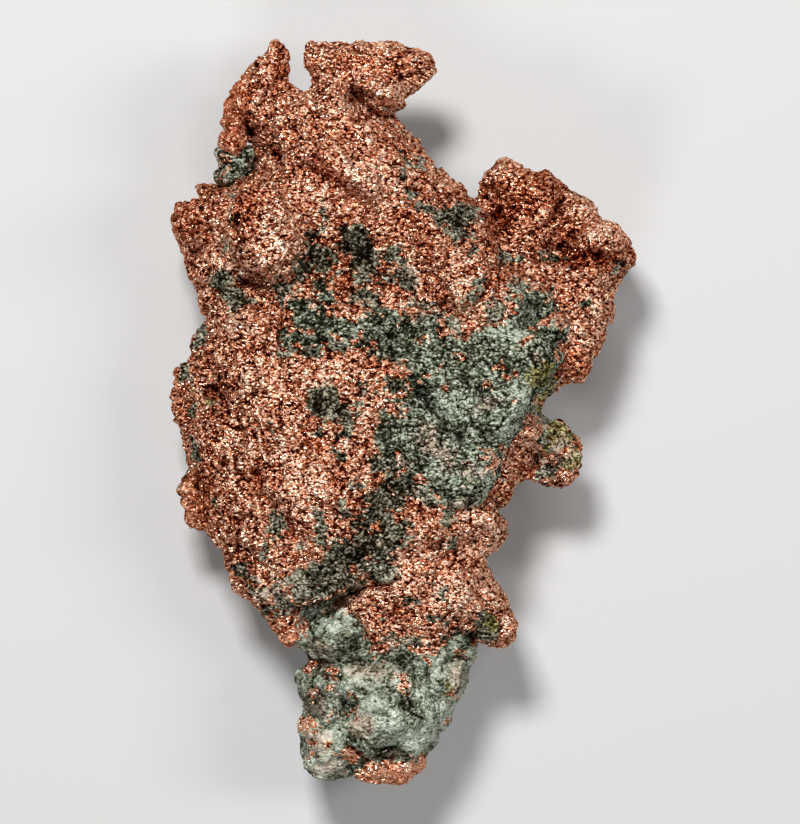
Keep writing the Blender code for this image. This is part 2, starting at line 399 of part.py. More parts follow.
def joined(name, pieces, voxel=VOXEL):
    """One fused body of all the pieces."""
    bm = bmesh.new()
    for piece in pieces:
        bm.from_mesh(piece.data)
        bpy.data.objects.remove(piece)
    return fused(object_of(name, bm), voxel)


def smoothed(obj, times):
    smooth = obj.modifiers.new("smooth", "SMOOTH")
    smooth.factor = 0.5
    smooth.iterations = times
    return baked(obj)


def carve(obj, creases, pits):
    """Presses cracks and pits into the face."""
    points, normals = points_of(obj.data), normals_of(obj.data)
    facing = np.clip(normals[:, 2] * 1.6, 0, 1)
    for depth, width, line in creases:
        near = np.exp(-((edge_distance(points, line, closed=False) / width) ** 2))
        points[:, 2] -= depth * near * facing
    for x, y, radius, depth in pits:
        away = np.hypot(points[:, 0] - x, points[:, 1] - y)
        points[:, 2] -= depth * np.exp(-((away / radius) ** 2)) * facing
    set_points(obj.data, points)


def roughen(obj, lump):
    """Raises the broad swells and the small rounded knobs along the normals."""
    points, normals = points_of(obj.data), normals_of(obj.data)
    height = np.empty(len(points))
    for i, point in enumerate(points):
        swell = noise.noise(Vector(point) / SWELL[0]) * SWELL[1]
        near, second = noise.voronoi(Vector(point) / lump[0])[0][:2]
        height[i] = swell + (min(second - near, 0.6) - 0.3) * lump[1] * 2
    set_points(obj.data, points + normals * height[:, None] * (SIDEWAYS, SIDEWAYS, 1.0))


def lightened(obj, triangles):
    """Fewer triangles where the surface is flattest."""
    bm = bmesh.new()
    bm.from_mesh(obj.data)
    bmesh.ops.triangulate(bm, faces=bm.faces)
    count = len(bm.faces)
    bm.to_mesh(obj.data)
    bm.free()
    decimate = obj.modifiers.new("lighten", "DECIMATE")
    decimate.ratio = min(1.0, triangles / count)
    return baked(obj)


def cut(obj, cutter):
    """Takes the cutter's shape out of the object."""
    boolean = obj.modifiers.new("pocket", "BOOLEAN")
    boolean.operation = "DIFFERENCE"
    boolean.object = cutter
    boolean.solver = "EXACT"
    return baked(obj)


def swollen(obj, name, amount):
    """A copy of the object, larger all over by the amount, to cut its pocket with."""
    copy = bpy.data.objects.new(name, obj.data.copy())
    bpy.context.scene.collection.objects.link(copy)
    points, normals = points_of(copy.data), normals_of(copy.data)
    set_points(copy.data, points + normals * amount)
    fused(copy, VOXEL)
    return lightened(copy, POCKET_TRIANGLES)


def largest_body(obj):
    """Keeps only the largest of the object's separate bodies."""
    bm = bmesh.new()
    bm.from_mesh(obj.data)
    left, bodies = set(bm.verts), []
    while left:
        stack, body = [left.pop()], set()
        while stack:
            vert = stack.pop()
            body.add(vert)
            for edge in vert.link_edges:
                other = edge.other_vert(vert)
                if other in left:
                    left.discard(other)
                    stack.append(other)
        bodies.append(body)
    bodies.sort(key=len)
    for body in bodies[:-1]:
        bmesh.ops.delete(bm, geom=list(body), context="VERTS")
    bm.to_mesh(obj.data)
    bm.free()
    return obj


def worn_flat(obj):
    """Cuts the feet off level with the table."""
    bm = bmesh.new()
    bm.from_mesh(obj.data)
    whole = [*bm.verts, *bm.edges, *bm.faces]
    made = bmesh.ops.bisect_plane(bm, geom=whole, plane_co=(0, 0, 0), plane_no=(0, 0, -1),
                                  clear_outer=True)["geom_cut"]
    rim = [e for e in made if isinstance(e, bmesh.types.BMEdge)]
    bmesh.ops.holes_fill(bm, edges=rim, sides=0)
    bmesh.ops.triangulate(bm, faces=bm.faces)
    bm.to_mesh(obj.data)
    bm.free()


def finish(obj, name, look):
    obj.name = obj.data.name = name
    label, colour, metallic, roughness = look
    material = bpy.data.materials.get(label) or bpy.data.materials.new(label)
    material.use_nodes = True
    shader = material.node_tree.nodes["Principled BSDF"]
    shader.inputs["Base Color"].default_value = colour
    shader.inputs["Metallic"].default_value = metallic
    shader.inputs["Roughness"].default_value = roughness
    obj.data.materials.clear()
    obj.data.materials.append(material)


def make_tail():
    pieces = [sheet("tail sheet", TAIL_OUTLINE, TAIL_FACE, TAIL_RIM, TAIL_BACK),
              knobs("tail knobs", TAIL_KNOBS)]
    tail = smoothed(joined("tail", pieces), 2)
    carve(tail, TAIL_CREASES, TAIL_PITS)
    roughen(tail, ROCK_LUMP)
    return tail


def make_face_rock():
    rock = sheet("face rock", FACE_ROCK_OUTLINE, FACE_ROCK_FACE, FACE_ROCK_RIM, FACE_ROCK_BACK)
    rock = smoothed(fused(rock), 2)
    carve(rock, FACE_ROCK_CREASES, FACE_ROCK_PITS)
    roughen(rock, ROCK_LUMP)
    return rock


def make_shoulder_rock():
    rock = smoothed(fused(knobs("shoulder rock", SHOULDER_ROCK)), 1)
    roughen(rock, ROCK_LUMP)
    return rock


def make_copper():
    feet = [(x, y, FOOT_CENTRE, rx, ry, FOOT_DEPTH) for x, y, rx, ry in FEET]
    pieces = [
        sheet("body", BODY_OUTLINE, BODY_FACE, BODY_RIM, BODY_BACK),
        sheet("lobe", LOBE_OUTLINE, LOBE_FACE, LOBE_RIM, LOBE_BACK),
        sheet("slab", SLAB_OUTLINE, SLAB_FACE, SLAB_RIM, SLAB_BACK),
        knobs("knobs", KNOBS + BACK_KNOBS + feet, RIDGES),
    ]
    copper = smoothed(joined("copper", pieces), 2)
    carve(copper, CREASES, PITS)
    roughen(copper, LUMP)
    return fused(copper)


def to_size(objects):
    """Brings the nugget to its length and width, centres it over the origin and to metres."""
    everything = np.vstack([points_of(obj.data) for obj in objects])
    low, high = everything.min(0), everything.max(0)
    centre = (low + high) / 2
    centre[2] = low[2]
    scale = np.array([WIDTH / (high[0] - low[0]), LENGTH / (high[1] - low[1]), 1.0])
    for obj in objects:
        set_points(obj.data, (points_of(obj.data) - centre) * scale * TO_METRES)


def main():
    clear_scene()
    copper = make_copper()
    rocks = {"tail_rock": (make_tail(), TAIL_STONE),
             "face_rock": (make_face_rock(), DARK_STONE),
             "shoulder_rock": (make_shoulder_rock(), DARK_STONE)}
    copper = lightened(copper, TRIANGLES["copper_mass"])
    finished = []
    for name, (rock, look) in rocks.items():
        rock = largest_body(lightened(rock, TRIANGLES[name]))
        pocket = swollen(rock, name + " pocket", SEAM)
        copper = cut(copper, pocket)
        bpy.data.objects.remove(pocket)
        finish(rock, name, look)
        finished.append(rock)
    copper = largest_body(copper)
    worn_flat(copper)
    finish(copper, "copper_mass", COPPER)
    finished.append(copper)
    to_size(finished)


main()
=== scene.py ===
"""A native copper nugget with green rock still locked in it, lying on its back on a pale floor."""
import math

import bmesh
import bpy
import numpy as np
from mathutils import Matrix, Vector
from mathutils.bvhtree import BVHTree


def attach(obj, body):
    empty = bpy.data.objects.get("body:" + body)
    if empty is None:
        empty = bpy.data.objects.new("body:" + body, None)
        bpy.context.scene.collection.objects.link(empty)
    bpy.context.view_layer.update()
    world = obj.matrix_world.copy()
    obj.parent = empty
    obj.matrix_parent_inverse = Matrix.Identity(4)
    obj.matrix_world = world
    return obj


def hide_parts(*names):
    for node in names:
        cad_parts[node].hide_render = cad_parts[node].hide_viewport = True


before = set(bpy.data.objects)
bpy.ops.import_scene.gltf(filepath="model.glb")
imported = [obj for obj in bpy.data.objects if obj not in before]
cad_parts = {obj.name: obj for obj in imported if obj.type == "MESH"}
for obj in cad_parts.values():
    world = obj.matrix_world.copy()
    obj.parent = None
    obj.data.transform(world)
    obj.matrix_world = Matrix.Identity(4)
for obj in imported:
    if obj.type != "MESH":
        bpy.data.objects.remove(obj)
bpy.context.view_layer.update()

# ================================================================ the copper
# Native copper: one crumpled, grainy mass that grew through cracks in the rock. The acid that freed
# it left every grain standing proud, bright where it has been handled. Painted shade turns its pits,
# gaps and cracks brown-black, and painted highlights lighten the brightest parts of its face.

MM = 0.001
GRID = 0.118         # millimetres between points of the finished surface
MELT = 12            # passes that melt the facets of the solid away
UNDER_MELT = 60      # passes that melt the folds of the underside away
FACE_LEVEL = 4.2     # the height above which a surface is seen from the front
TOP = 10.1           # the height above which the grains are worn down
WEAR = 0.7           # the share of what stands above it that is worn away
COPPER_TRIANGLES = 188_000


def coords(mesh):
    """The places of the mesh's points, one row each."""
    flat = np.empty(len(mesh.vertices) * 3, np.float32)
    mesh.vertices.foreach_get("co", flat)
    return flat.reshape(-1, 3).astype(float)


def normals(mesh):
    """The way the surface faces at each point."""
    flat = np.empty(len(mesh.vertices) * 3, np.float32)
    mesh.vertex_normals.foreach_get("vector", flat)
    return flat.reshape(-1, 3).astype(float)


def move_to(mesh, points):
    """Moves the mesh's points to new places."""
    mesh.vertices.foreach_set("co", points.astype(np.float32).ravel())
    mesh.update()


def settle(obj):
    """Turns what the object's modifiers make into its own mesh."""
    graph = bpy.context.evaluated_depsgraph_get()
    mesh = bpy.data.meshes.new_from_object(obj.evaluated_get(graph))
    obj.modifiers.clear()
    obj.data = mesh


def fine_copy(node, name, grid, melt):
    """A closed, evenly fine copy of a solid, in millimetres."""
    bm = bmesh.new()
    bm.from_mesh(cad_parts[node].data)
    bmesh.ops.remove_doubles(bm, verts=bm.verts, dist=1e-7)
    bmesh.ops.scale(bm, verts=bm.verts, vec=(1 / MM,) * 3)
    mesh = bpy.data.meshes.new(name)
    bm.to_mesh(mesh)
    bm.free()
    obj = bpy.data.objects.new(name, mesh)
    bpy.context.scene.collection.objects.link(obj)
    remesh = obj.modifiers.new("even", "REMESH")
    remesh.mode, remesh.voxel_size = "VOXEL", grid
    smooth = obj.modifiers.new("melt", "SMOOTH")
    smooth.factor, smooth.iterations = 0.5, melt
    settle(obj)
    return obj


def melt_under(obj, passes):
    """Melts the folds away on all that faces down, but for the feet it lies on."""
    group = obj.vertex_groups.new(name="under")
    low = ramp(coords(obj.data)[:, 2], 0.3, 1.5) * ramp(-normals(obj.data)[:, 2], 0.0, 0.4)
    for share in (0.25, 0.5, 0.75, 1.0):
        group.add(np.flatnonzero(np.abs(low - share) < 0.13).tolist(), share, "REPLACE")
    smooth = obj.modifiers.new("melt", "SMOOTH")
    smooth.factor, smooth.iterations, smooth.vertex_group = 0.5, passes, "under"
    settle(obj)
    obj.vertex_groups.clear()


def thin_back(obj, most):
    """Spends the triangles on the face, and leaves fewer on the back."""
    group = obj.vertex_groups.new(name="back")
    points, facing = coords(obj.data), normals(obj.data)
    spare = (points[:, 2] < FACE_LEVEL) | (facing[:, 2] < -0.2)
    group.add(np.flatnonzero(spare).tolist(), 1.0, "REPLACE")
    count = sum(len(face.vertices) - 2 for face in obj.data.polygons)
    thin = obj.modifiers.new("thin", "DECIMATE")
    thin.ratio = min(1.0, most / count)
    thin.vertex_group = "back"
    settle(obj)
    obj.vertex_groups.clear()


def to_metres(obj):
    """Brings a finished mesh to metres, with nothing sunk below the floor and its highest grains worn."""
    points = coords(obj.data)
    high = np.maximum(points[:, 2] - TOP, 0)
    points[:, 2] = np.maximum(points[:, 2] - WEAR * high, 0)
    move_to(obj.data, points * MM)
    obj.data.shade_smooth()


def clearance(points, node):
    """Distance from each point to another solid of the part."""
    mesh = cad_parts[node].data
    tree = BVHTree.FromPolygons([v.co / MM for v in mesh.vertices], [p.vertices for p in mesh.polygons])
    return np.array([tree.find_nearest(point)[3] for point in points])


def ramp(value, low, high):
    """0 below low, 1 above high and smooth between."""
    share = np.clip((value - low) / (high - low), 0, 1)
    return share * share * (3 - 2 * share)


def frontal(facing):
    """1 where a surface faces up, 0 where it faces down and smooth between."""
    return ramp(facing[:, 2], -0.15, 0.2)


def level(facing):
    """1 where a surface lies nearly flat, less on a slope and 0 where it is steep or faces down."""
    return np.clip(facing[:, 2] * 1.5, 0, 1)


def chance(cells, seed):
    """A repeatable number from 0 to 1 for each whole-numbered cell."""
    x, y, z = np.moveaxis(cells.astype(np.int64), -1, 0)
    mixed = (x * 73856093) ^ (y * 19349663) ^ (z * 83492791) ^ (seed * 40503 + 12345)
    mixed = (mixed ^ (mixed >> 13)) * 1274126177 & 0xFFFFFFFF
    mixed = (mixed ^ (mixed >> 15)) * 2246822519 & 0xFFFFFFFF
    return ((mixed ^ (mixed >> 13)) & 0xFFFFFF) / 0xFFFFFF


def cloud(points, size, seed):
    """Smooth noise from 0 to 1, with lumps of about the size."""
    scaled = points / size
    cell = np.floor(scaled)
    share = scaled - cell
    share = share * share * (3 - 2 * share)
    total = np.zeros(len(points))
    for corner in np.ndindex(2, 2, 2):
        weight = np.prod(np.where(corner, share, 1 - share), axis=1)
        total += weight * chance(cell + corner, seed)
    return total


def strayed(points, far, size, seed):
    """The points, each moved up to half as far as far by noise."""
    return points + far * (np.stack([cloud(points, size, seed + k) for k in range(3)], axis=1) - 0.5)


def veins(points, size, seed, thin):
    """1 along the wandering lines where a cloud crosses its middle value, and 0 away from them."""
    return ramp(1 - np.abs(2 * cloud(points, size, seed) - 1), thin, 0.99)


def grains(points, size, seed):
    """For each point, in sizes: how far it is from the middle of its grain and from the gap beside
    it, the grain's own number, and the height of a flat facet that leans a way of its own."""
    scaled = points / size
    cell = np.floor(scaled)
    first = np.full(len(points), 9.0)
    second = first.copy()
    own, lean = np.zeros((2, len(points)))
    for step in np.ndindex(3, 3, 3):
        near = cell + np.array(step) - 1
        off = scaled - near - np.stack([chance(near, seed + k) for k in range(3)], axis=1)
        away = np.linalg.norm(off, axis=1)
        closer = away < first
        second = np.where(closer, first, np.minimum(second, away))
        own = np.where(closer, chance(near, seed + 3), own)
        slope = np.stack([chance(near, seed + k) for k in (4, 5, 6)], axis=1) - 0.5
        lean = np.where(closer, (off * slope).sum(axis=1), lean)
        first = np.where(closer, away, first)
    return first, second - first, own, lean


def line_distance(points, line):
    """Distance in plan to a line of points."""
    line = np.array(line, float)
    nearest = np.full(len(points), 99.0)
    for start, end in zip(line[:-1], line[1:]):
        along = end - start
        share = np.clip((points[:, :2] - start) @ along / (along @ along), 0, 1)
        foot = start + share[:, None] * along
        nearest = np.minimum(nearest, np.hypot(*(points[:, :2] - foot).T))
    return nearest


def turned(off, degrees):
    """The offsets along and across a direction in plan."""
    cos, sin = math.cos(math.radians(degrees)), math.sin(math.radians(degrees))
    return off[:, 0] * cos + off[:, 1] * sin, off[:, 1] * cos - off[:, 0] * sin


def patches(points, spots):
    """0.5 on the edge of the nearest oval patch, 1 from half a millimetre within it and 0 outside."""
    wander = strayed(strayed(points, 0.9, 0.8, 31), 0.45, 0.35, 34)[:, :2] - points[:, :2]
    within = np.full(len(points), -9.0)
    for x, y, half_x, half_y, turn in spots:
        drift = wander * min(0.8, 0.1 + half_x / 2, 0.1 + half_y / 2)
        long, short = turned(points[:, :2] - (x, y) + drift, turn)
        within = np.maximum(within, (1 - np.hypot(long / half_x, short / half_y)) * min(half_x, half_y))
    return np.clip(0.5 + within, 0, 1)


def threads(points, lines):
    """0.5 on the edge of the nearest thread, each a half width and a line, and more within it."""
    plan = strayed(points, 0.3, 0.4, 37)
    within = [half - line_distance(plan, line) for half, line in lines]
    return np.clip(0.5 + 2 * np.max(within, axis=0), 0, 1)


def nudged(points, nudges):
    """The points, drawn sideways near each place: x, y, reach and the draw in x and y."""
    for x, y, reach, draw_x, draw_y in nudges:
        share = np.exp(-(np.hypot(*(points[:, :2] - (x, y)).T) / reach) ** 2)
        points = points + share[:, None] * (draw_x, draw_y, 0)
    return points


def mounds(points, spots):
    """The rise of soft mounds, or the fall of hollows: x, y, half sizes, turn and height."""
    rise = np.zeros(len(points))
    for x, y, half_x, half_y, turn, height in spots:
        long, short = turned(points[:, :2] - (x, y), turn)
        rise += height * np.exp(-(long / half_x) ** 2 - (short / half_y) ** 2)
    return rise


def carved(points, facing, cracks, pits):
    """How deep the cracks and pits are at each point."""
    plan = strayed(points, 0.35, 0.6, 41)[:, :2]
    depth = np.zeros(len(points))
    for deep, wide, line in cracks:
        depth += deep * np.exp(-((line_distance(plan, line) / wide) ** 2))
    for x, y, radius, deep in pits:
        depth += deep * np.exp(-(np.hypot(*(plan - (x, y)).T) / radius) ** 2)
    return depth * facing


def seam_film(points, gap, reach, seed):
    """Where the film or rim along a seam lies: over 0.5 near the seam, and ragged at its edge."""
    return reach - gap + 0.7 * (cloud(points, 1.0, seed) - 0.5)


def stains_and_painted_light(points, face):
    """The marks of every stain, and of the painted shade and highlights among them, on the face alone."""
    return {name: patches(points, spots) * face for name, spots in STAINS_AND_PAINTED_LIGHT.items()}


def keep(mesh, marks):
    """Stores numbers from 0 to 1 for each point of the mesh, for its material to read."""
    for name, values in marks.items():
        layer = mesh.attributes.new(name, "FLOAT", "POINT")
        layer.data.foreach_set("value", np.clip(values, 0, 1).astype(np.float32))


# Oval patches on the face, in millimetres: middle x, y, half sizes, and the turn in degrees.
# First where the green film lies over the copper.
GREEN_FILM = [
    (-2.3, 8.6, 0.75, 0.85, -20), (-1.75, 7.7, 0.75, 1.0, 10), (-2.2, 9.1, 0.4, 0.45, 0),
    (-1.5, 7.0, 0.45, 0.3, 0), (-4.1, 7.75, 0.85, 0.55, 0), (-4.9, 7.1, 0.4, 0.7, 0),
    (-4.35, 8.7, 0.2, 0.35, 0), (-3.8, 7.3, 0.45, 0.5, 0), (-5.6, 5.9, 0.45, 0.6, 0),
    (-5.2, 6.5, 0.7, 0.2, 0), (-3.85, 6.3, 0.35, 0.4, 0), (-3.6, 5.6, 0.6, 0.4, 0),
    (-1.6, 5.8, 0.75, 0.45, 0), (-2.0, 6.6, 0.7, 0.3, 0), (0.9, 5.3, 0.8, 0.2, 0),
    (2.4, 4.6, 0.3, 0.3, 0), (-3.85, 10.1, 0.2, 0.28, 0), (-3.75, 9.4, 0.14, 0.4, 0),
    (-4.6, 5.3, 0.5, 0.25, 0), (-0.45, 7.75, 0.45, 0.4, 40), (0.5, 6.6, 0.5, 0.85, 0),
    (-0.5, 6.75, 0.6, 0.2, 0), (0.15, 7.4, 0.3, 0.3, 0), (0.5, 10.85, 0.25, 0.3, 0),
    (1.3, 10.0, 0.9, 0.3, -30), (2.9, 9.75, 0.95, 0.5, -5), (0.2, 12.05, 0.13, 0.4, -20),
    (2.8, 9.0, 0.6, 0.65, -20), (2.0, 9.6, 0.5, 0.5, 0), (3.55, 8.65, 0.17, 0.27, 0),
    (3.7, 8.05, 0.14, 0.18, 0), (5.2, 7.75, 0.42, 0.33, -30), (7.3, 7.9, 0.3, 0.13, 0),
    (8.3, 7.5, 0.15, 0.18, 0), (10.8, 7.25, 0.28, 0.13, 30), (3.85, 6.3, 0.3, 0.5, -10),
    (3.6, 5.7, 0.38, 0.2, 20), (4.9, 5.3, 0.5, 0.3, 0), (5.55, 6.0, 0.3, 0.5, 0), (4.8, 5.0, 0.5, 0.4, 0),
    (-8.8, 6.5, 0.8, 0.5, 0), (-8.3, 5.85, 0.55, 0.7, 0), (-7.5, 5.55, 0.45, 0.15, 0),
    (-9.9, 3.6, 0.4, 0.65, 0), (-10.65, 2.0, 0.36, 0.4, 0), (-10.15, -1.85, 0.25, 0.6, 15),
    (-8.15, 10.8, 0.2, 0.15, 0), (-8.3, 9.8, 0.12, 0.3, 0), (-8.5, 8.3, 0.2, 0.3, 0),
    (-9.4, 0.6, 0.3, 0.25, 0), (-6.4, -0.65, 0.35, 0.13, 0), (-3.8, 0.7, 0.85, 0.8, -10),
    (-3.0, 0.0, 0.9, 0.55, -20), (-2.6, -0.8, 0.42, 0.65, 0), (-2.05, 0.3, 0.3, 0.4, 0),
    (-1.9, 1.2, 0.22, 0.15, 0), (-4.0, -0.9, 0.2, 0.35, 0), (-0.5, 1.15, 0.85, 0.26, 0),
    (1.0, 1.4, 0.4, 0.9, 0), (-0.6, -2.0, 0.6, 1.0, 0), (-0.5, -3.3, 0.45, 0.8, 0),
    (-0.9, -1.0, 0.35, 0.6, 0), (-2.0, -3.6, 0.38, 0.25, 0), (0.2, -3.5, 1.0, 0.6, 0),
    (1.3, -4.0, 0.8, 0.4, 0), (1.5, -4.4, 0.5, 0.35, 0), (-0.3, -4.4, 0.5, 0.5, 0),
    (-0.9, -4.4, 0.9, 0.55, 0), (-1.1, -5.3, 1.1, 0.6, 0), (-1.5, -6.1, 0.9, 0.4, 0),
    (-2.9, -6.5, 0.8, 0.5, 0), (-3.4, -7.0, 0.5, 0.4, 0), (-0.7, -6.0, 1.1, 0.9, 0),
    (0.1, -5.9, 0.5, 0.6, 30), (-1.9, -7.1, 1.7, 0.8, 0), (-3.2, -8.0, 1.7, 1.0, 0),
    (-0.9, -7.9, 0.9, 0.6, 0), (-4.8, -8.4, 0.9, 0.85, 0), (-5.9, -8.9, 0.5, 0.5, 0),
    (-7.7, -8.2, 0.5, 0.35, -30), (-5.4, -9.5, 0.6, 0.3, 0), (-6.8, -9.1, 0.6, 0.4, 0),
    (-6.4, -9.8, 0.6, 0.2, 0), (-4.2, -9.0, 1.2, 0.6, 20), (-3.85, -5.2, 0.38, 0.5, 0),
    (-4.05, -6.1, 0.33, 0.4, 0), (-6.1, -5.6, 0.55, 0.58, 0), (-5.15, -6.5, 0.3, 0.2, -35),
    (-2.75, -4.8, 0.28, 0.2, 0), (-2.6, -5.1, 0.2, 0.13, 0), (2.3, -5.1, 0.34, 0.38, 0),
    (3.4, -4.35, 0.9, 0.2, 0), (1.9, -4.4, 0.7, 0.2, 0), (2.45, -6.4, 0.28, 0.3, 0),
    (0.55, -9.25, 0.22, 0.16, 0), (2.1, -9.0, 0.2, 0.35, -20), (-0.85, -10.2, 0.18, 0.12, 0),
    (1.6, -10.15, 0.32, 0.17, 0), (4.4, -10.6, 0.62, 0.8, 0), (3.0, -11.1, 0.6, 0.3, 0),
    (0.9, -11.2, 0.4, 0.2, 0), (-0.4, -11.2, 0.6, 0.3, 0), (7.9, -0.9, 0.6, 0.45, 0),
    (8.4, -2.3, 0.5, 0.6, 0), (8.3, -1.5, 0.6, 0.4, 0), (7.3, -2.9, 0.5, 0.5, 0),
    (7.5, -0.5, 0.4, 0.4, 0), (7.0, -2.2, 0.3, 0.15, -30), (7.3, 1.2, 0.6, 1.0, 15),
    (7.9, 3.4, 0.2, 0.7, 0), (6.9, 0.2, 0.4, 0.6, 20), (-4.7, 2.95, 1.2, 0.28, 0),
    (-5.6, 3.4, 0.4, 0.5, 0), (-3.4, 3.3, 1.0, 0.3, 0), (-0.6, 3.1, 0.9, 0.5, 0),
    (-2.5, 4.0, 0.6, 0.5, 0), (0.4, 3.8, 1.0, 0.8, 0), (2.8, 4.1, 0.35, 0.45, 0),
]
# Where copper and green crumbs are mixed.
MINGLED = [
    (-2.9, 6.7, 0.8, 0.5, 0), (-4.6, 6.0, 0.5, 0.4, 0), (-3.6, 8.9, 0.6, 0.5, -20),
    (-2.6, -4.2, 0.6, 0.6, 0), (0.6, 5.5, 0.8, 0.3, 0), (8.1, -1.6, 1.1, 1.5, 0),
    (-6.3, -8.9, 1.2, 0.8, 0), (-7.0, -7.0, 0.6, 0.4, 30), (-10.4, 0.3, 0.6, 1.0, 0),
    (7.0, 7.7, 1.0, 0.4, 0), (8.9, 5.3, 0.5, 0.4, 0), (0.4, -11.3, 1.0, 0.3, 0),
    (3.0, -10.3, 0.9, 0.35, 0), (7.2, -1.9, 0.6, 0.9, 0), (-2.9, -1.9, 0.5, 0.7, 0),
    (-8.9, -4.6, 0.4, 0.5, 0), (1.2, -7.3, 0.5, 0.25, 0), (-8.1, -7.8, 0.6, 0.6, 0),
    (-6.6, -9.8, 0.9, 0.3, -20), (-2.6, 2.5, 0.4, 0.2, 0), (-1.4, -2.4, 0.4, 0.9, 0),
    (6.4, 7.0, 0.8, 0.35, 0), (0.8, 12.4, 0.9, 0.4, -40), (1.5, 11.6, 0.5, 0.4, 0),
]
# Grains and tongues of copper that stand bare in the green.
SPECKS = [
    (2.0, 4.15, 0.25, 0.48, 20), (1.1, 3.65, 0.2, 0.13, 0), (2.8, 2.6, 0.14, 0.11, 0),
    (2.25, 1.2, 0.12, 0.1, 0), (4.8, 2.25, 0.14, 0.08, -50), (5.7, 1.9, 0.1, 0.09, 0),
    (4.3, 1.3, 0.12, 0.1, 0), (-1.4, -7.2, 0.16, 0.25, 0), (5.6, 0.7, 0.12, 0.1, 0),
    (4.4, -1.95, 0.26, 0.16, 0), (-4.5, 4.0, 0.22, 0.1, 0), (-2.3, -7.8, 0.3, 0.13, -45),
    (-5.5, 4.6, 0.3, 0.65, 0), (6.9, 6.5, 1.1, 0.5, 0), (8.1, 4.8, 0.5, 0.6, 10),
    (6.2, 3.5, 0.25, 0.08, 20), (8.2, 3.0, 0.45, 0.7, 0), (7.2, 5.6, 0.12, 0.08, 0),
    (-4.55, 5.9, 0.5, 0.38, 0), (-4.15, 5.25, 0.36, 0.17, 0), (-2.3, 5.0, 1.0, 0.6, 0),
    (-2.8, 6.1, 0.5, 0.9, 0), (-1.2, 4.7, 0.2, 0.1, 0), (8.0, 5.6, 0.35, 0.5, 0),
    (-0.2, 2.15, 0.65, 0.5, -10), (-0.5, 0.3, 0.8, 0.36, -15), (3.6, 4.6, 0.6, 0.5, 0),
    (5.9, 6.9, 0.5, 0.35, 0), (5.0, -3.1, 0.6, 1.2, 8), (0.5, -4.6, 0.16, 0.5, 0),
    (1.1, -5.1, 0.6, 0.2, 0), (0.5, -7.8, 0.6, 0.4, 0), (5.6, -1.9, 0.5, 0.5, 0),
    (-0.3, 5.5, 0.5, 0.15, 0), (-1.2, -5.6, 0.25, 0.2, 0), (-2.0, 3.1, 0.3, 0.15, 0),
    (-5.6, -8.7, 0.2, 0.17, 0), (-6.4, -9.2, 0.2, 0.15, 0), (-7.4, -9.3, 0.35, 0.28, 0),
    (-7.6, -8.5, 0.4, 0.2, 0), (3.2, -5.1, 0.45, 0.35, 0), (4.3, -4.8, 0.6, 0.4, 0),
    (-4.4, -10.6, 0.2, 0.2, 0), (-1.0, -3.1, 0.4, 0.15, 0), (8.9, -3.4, 0.8, 0.3, 20),
    (6.4, -1.8, 0.5, 0.8, 0), (9.0, -1.4, 0.25, 0.6, 0), (8.2, -1.9, 0.15, 0.2, -30),
]
